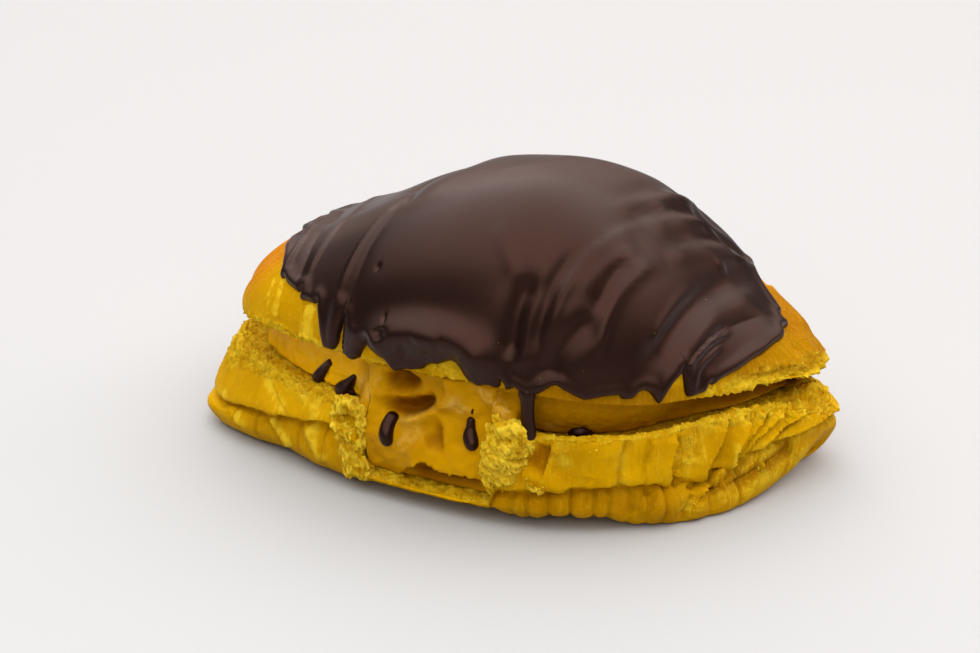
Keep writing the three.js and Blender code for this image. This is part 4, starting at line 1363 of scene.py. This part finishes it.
# Brighter custard for painted light, and paler custard for painted highlights.
PAINTED_LIGHT_CUSTARD = (0.85, 0.43, 0, 1)
HIGHLIGHT_CUSTARD = (0.72, 0.46, 0.10, 1)
DARK_CHOCOLATE = (0.003, 0.001, 0.0006, 1)
BROWN_CHOCOLATE = (0.006, 0.0021, 0.0013, 1)
WARM_LIGHT = (1, 0.7, 0.6)
WARM_SKY = (1, 0.85, 0.78, 1)
FLOOR = (0.42, 0.42, 0.42, 1)
# What the lamps point at, in metres.
LIT = Vector((0, 0, 0.03))


def dough_finish(name, pale=PALE):
    finish = Finish(name)
    crumb = finish.attribute("crumb")
    streak = finish.attribute("streak")
    baked = finish.attribute("baked")
    mottle = finish.noise(260, 5, 0.6)
    broad = finish.noise(60, 3)
    base = finish.blend(finish.level(broad, 0.35, 0.65), DEEP_YELLOW, YELLOW)
    # Pale streaks of the dough, with painted highlights on raised torn crumb.
    paler = finish.level(streak, 0.1, 0.7) * finish.level(mottle, 0.3, 0.6) * 0.8
    base = finish.blend(paler, base, pale)
    base = finish.blend(crumb * finish.level(mottle, 0.35, 0.65) * 0.75, base, pale)
    base = finish.blend(baked, base, BAKED)
    # Painted shade.
    base = finish.blend(finish.attribute("deep") * 0.75, base, SHADE)
    fibres = finish.noise(1, 4, 0.6, stretch=(1500, 1500, 300))
    base = finish.blend(finish.level(fibres, 0.5, 0.75) * (0.25 + 0.5 * crumb), base, pale)
    normal = finish.bump(finish.noise(1100, 4, 0.7), 0.0002)
    normal = finish.bump(fibres, 0.0003, normal)
    normal = finish.bump(crumb * finish.noise(700, 5, 0.7), 0.0006, normal)
    return finish.set(
        Base_Color=base, Roughness=0.6, Normal=normal, Subsurface_Weight=0.06,
        Subsurface_Radius=(1.0, 0.5, 0.1), Subsurface_Scale=0.001, Specular_IOR_Level=0.05,
        Specular_Tint=(1, 0.85, 0.3, 1),
    )


def cream_finish():
    finish = Finish("cream")
    broad = finish.noise(70, 3)
    fine = finish.noise(500, 4, 0.6)
    base = finish.blend(finish.level(broad, 0.35, 0.65), DEEP_CUSTARD, CUSTARD)
    # Painted light, painted shade and painted highlights.
    base = finish.blend(finish.attribute("rich"), base, PAINTED_LIGHT_CUSTARD)
    base = finish.blend(finish.attribute("deep"), base, SHADE)
    painted_highlight = finish.attribute("pale") * finish.level(fine, 0.35, 0.6) * 0.7
    base = finish.blend(painted_highlight, base, HIGHLIGHT_CUSTARD)
    normal = finish.bump(fine, 0.00015)
    return finish.set(
        Base_Color=base, Roughness=0.4, Normal=normal, Subsurface_Weight=0.15,
        Subsurface_Radius=(1.0, 0.5, 0.1), Subsurface_Scale=0.002, Specular_IOR_Level=0.1,
        Specular_Tint=(1, 0.8, 0.2, 1),
    )


def chocolate_finish():
    finish = Finish("chocolate")
    broad = finish.noise(40, 3)
    fine = finish.noise(350, 3)
    base = finish.blend(finish.level(broad, 0.3, 0.7), DARK_CHOCOLATE, BROWN_CHOCOLATE)
    roughness = 0.34 + 0.08 * broad
    normal = finish.bump(fine, 0.00003)
    return finish.set(
        Base_Color=base, Roughness=roughness, Normal=normal, Specular_IOR_Level=0.4,
        Specular_Tint=(1, 0.48, 0.38, 1),
    )


def dress(piece, material, node=None):
    piece.data.materials.append(material)
    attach(piece, "root")
    if node:
        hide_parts(node)


def camera():
    bpy.ops.object.camera_add(location=(EYE - np.append(CENTRE, 0)) * METRES)
    eye = bpy.context.object
    eye.rotation_euler = Vector(AHEAD).to_track_quat("-Z", "Y").to_euler()
    eye.data.lens = LENS
    bpy.context.scene.camera = eye


def lamp(name, at, size, power, colour=(1, 1, 1)):
    bpy.ops.object.light_add(type="AREA", location=at)
    light = bpy.context.object
    light.name = name
    light.data.shape = "RECTANGLE"
    light.data.size, light.data.size_y = size
    light.data.energy = power
    light.data.color = colour
    light.rotation_euler = (LIT - Vector(at)).to_track_quat("-Z", "Y").to_euler()


def studio():
    bpy.ops.mesh.primitive_plane_add(size=6, location=(0, 0, 0))
    floor = bpy.context.object
    floor.name = "floor"
    finish = Finish("floor")
    floor.data.materials.append(finish.set(Base_Color=FLOOR, Roughness=0.9))
    lamp("overhead", (0, 0.1, 1.15), (3.2, 2.8), 72)
    lamp("behind", (-0.7, 1.5, 0.7), (2.4, 0.9), 7, colour=WARM_LIGHT)
    lamp("behind right", (1.4, 0.8, 0.8), (1.4, 0.9), 5, colour=WARM_LIGHT)
    lamp("front", (0.3, -0.9, 0.6), (1.2, 0.4), 3.5)
    world = bpy.context.scene.world or bpy.data.worlds.new("studio")
    bpy.context.scene.world = world
    world.use_nodes = True
    background = world.node_tree.nodes["Background"]
    background.inputs["Color"].default_value = WARM_SKY
    background.inputs["Strength"].default_value = 0.1
    bpy.context.scene.view_settings.view_transform = "Standard"


camera()
studio()
# What several pieces share: the dome with its marks, the coating's edge and the folds.
DOME = dome_canvas()
EDGE_PLACE, EDGE_HEIGHT = seen_edge(DOME)
FOLDS = fold_field(DOME)
LOWER_CRUST, ON_CRUST = lower_crust()
dress(LOWER_CRUST, dough_finish("lower_dough"), "lower_half")
FILLING, ON_FILLING = cream()
FRONT_WALL = front_canvas()
dress(FILLING, cream_finish(), "cream_filling")
dress(lid_crust(), dough_finish("lid_dough"), "upper_half")
CHOCOLATE = chocolate_finish()
dress(chocolate_coat(), CHOCOLATE, "chocolate_coating")
dress(chocolate_drops(ON_FILLING, FRONT_WALL), CHOCOLATE)
TORN = dough_finish("torn_dough", TORN_PALE)
dress(torn_lump("right_tear", RIGHT_TEAR, FRONT_WALL, 21), TORN)
dress(torn_lump("left_tear", LEFT_TEAR, FRONT_WALL, 24), TORN)
dress(loose_crumbs(ON_CRUST), TORN)
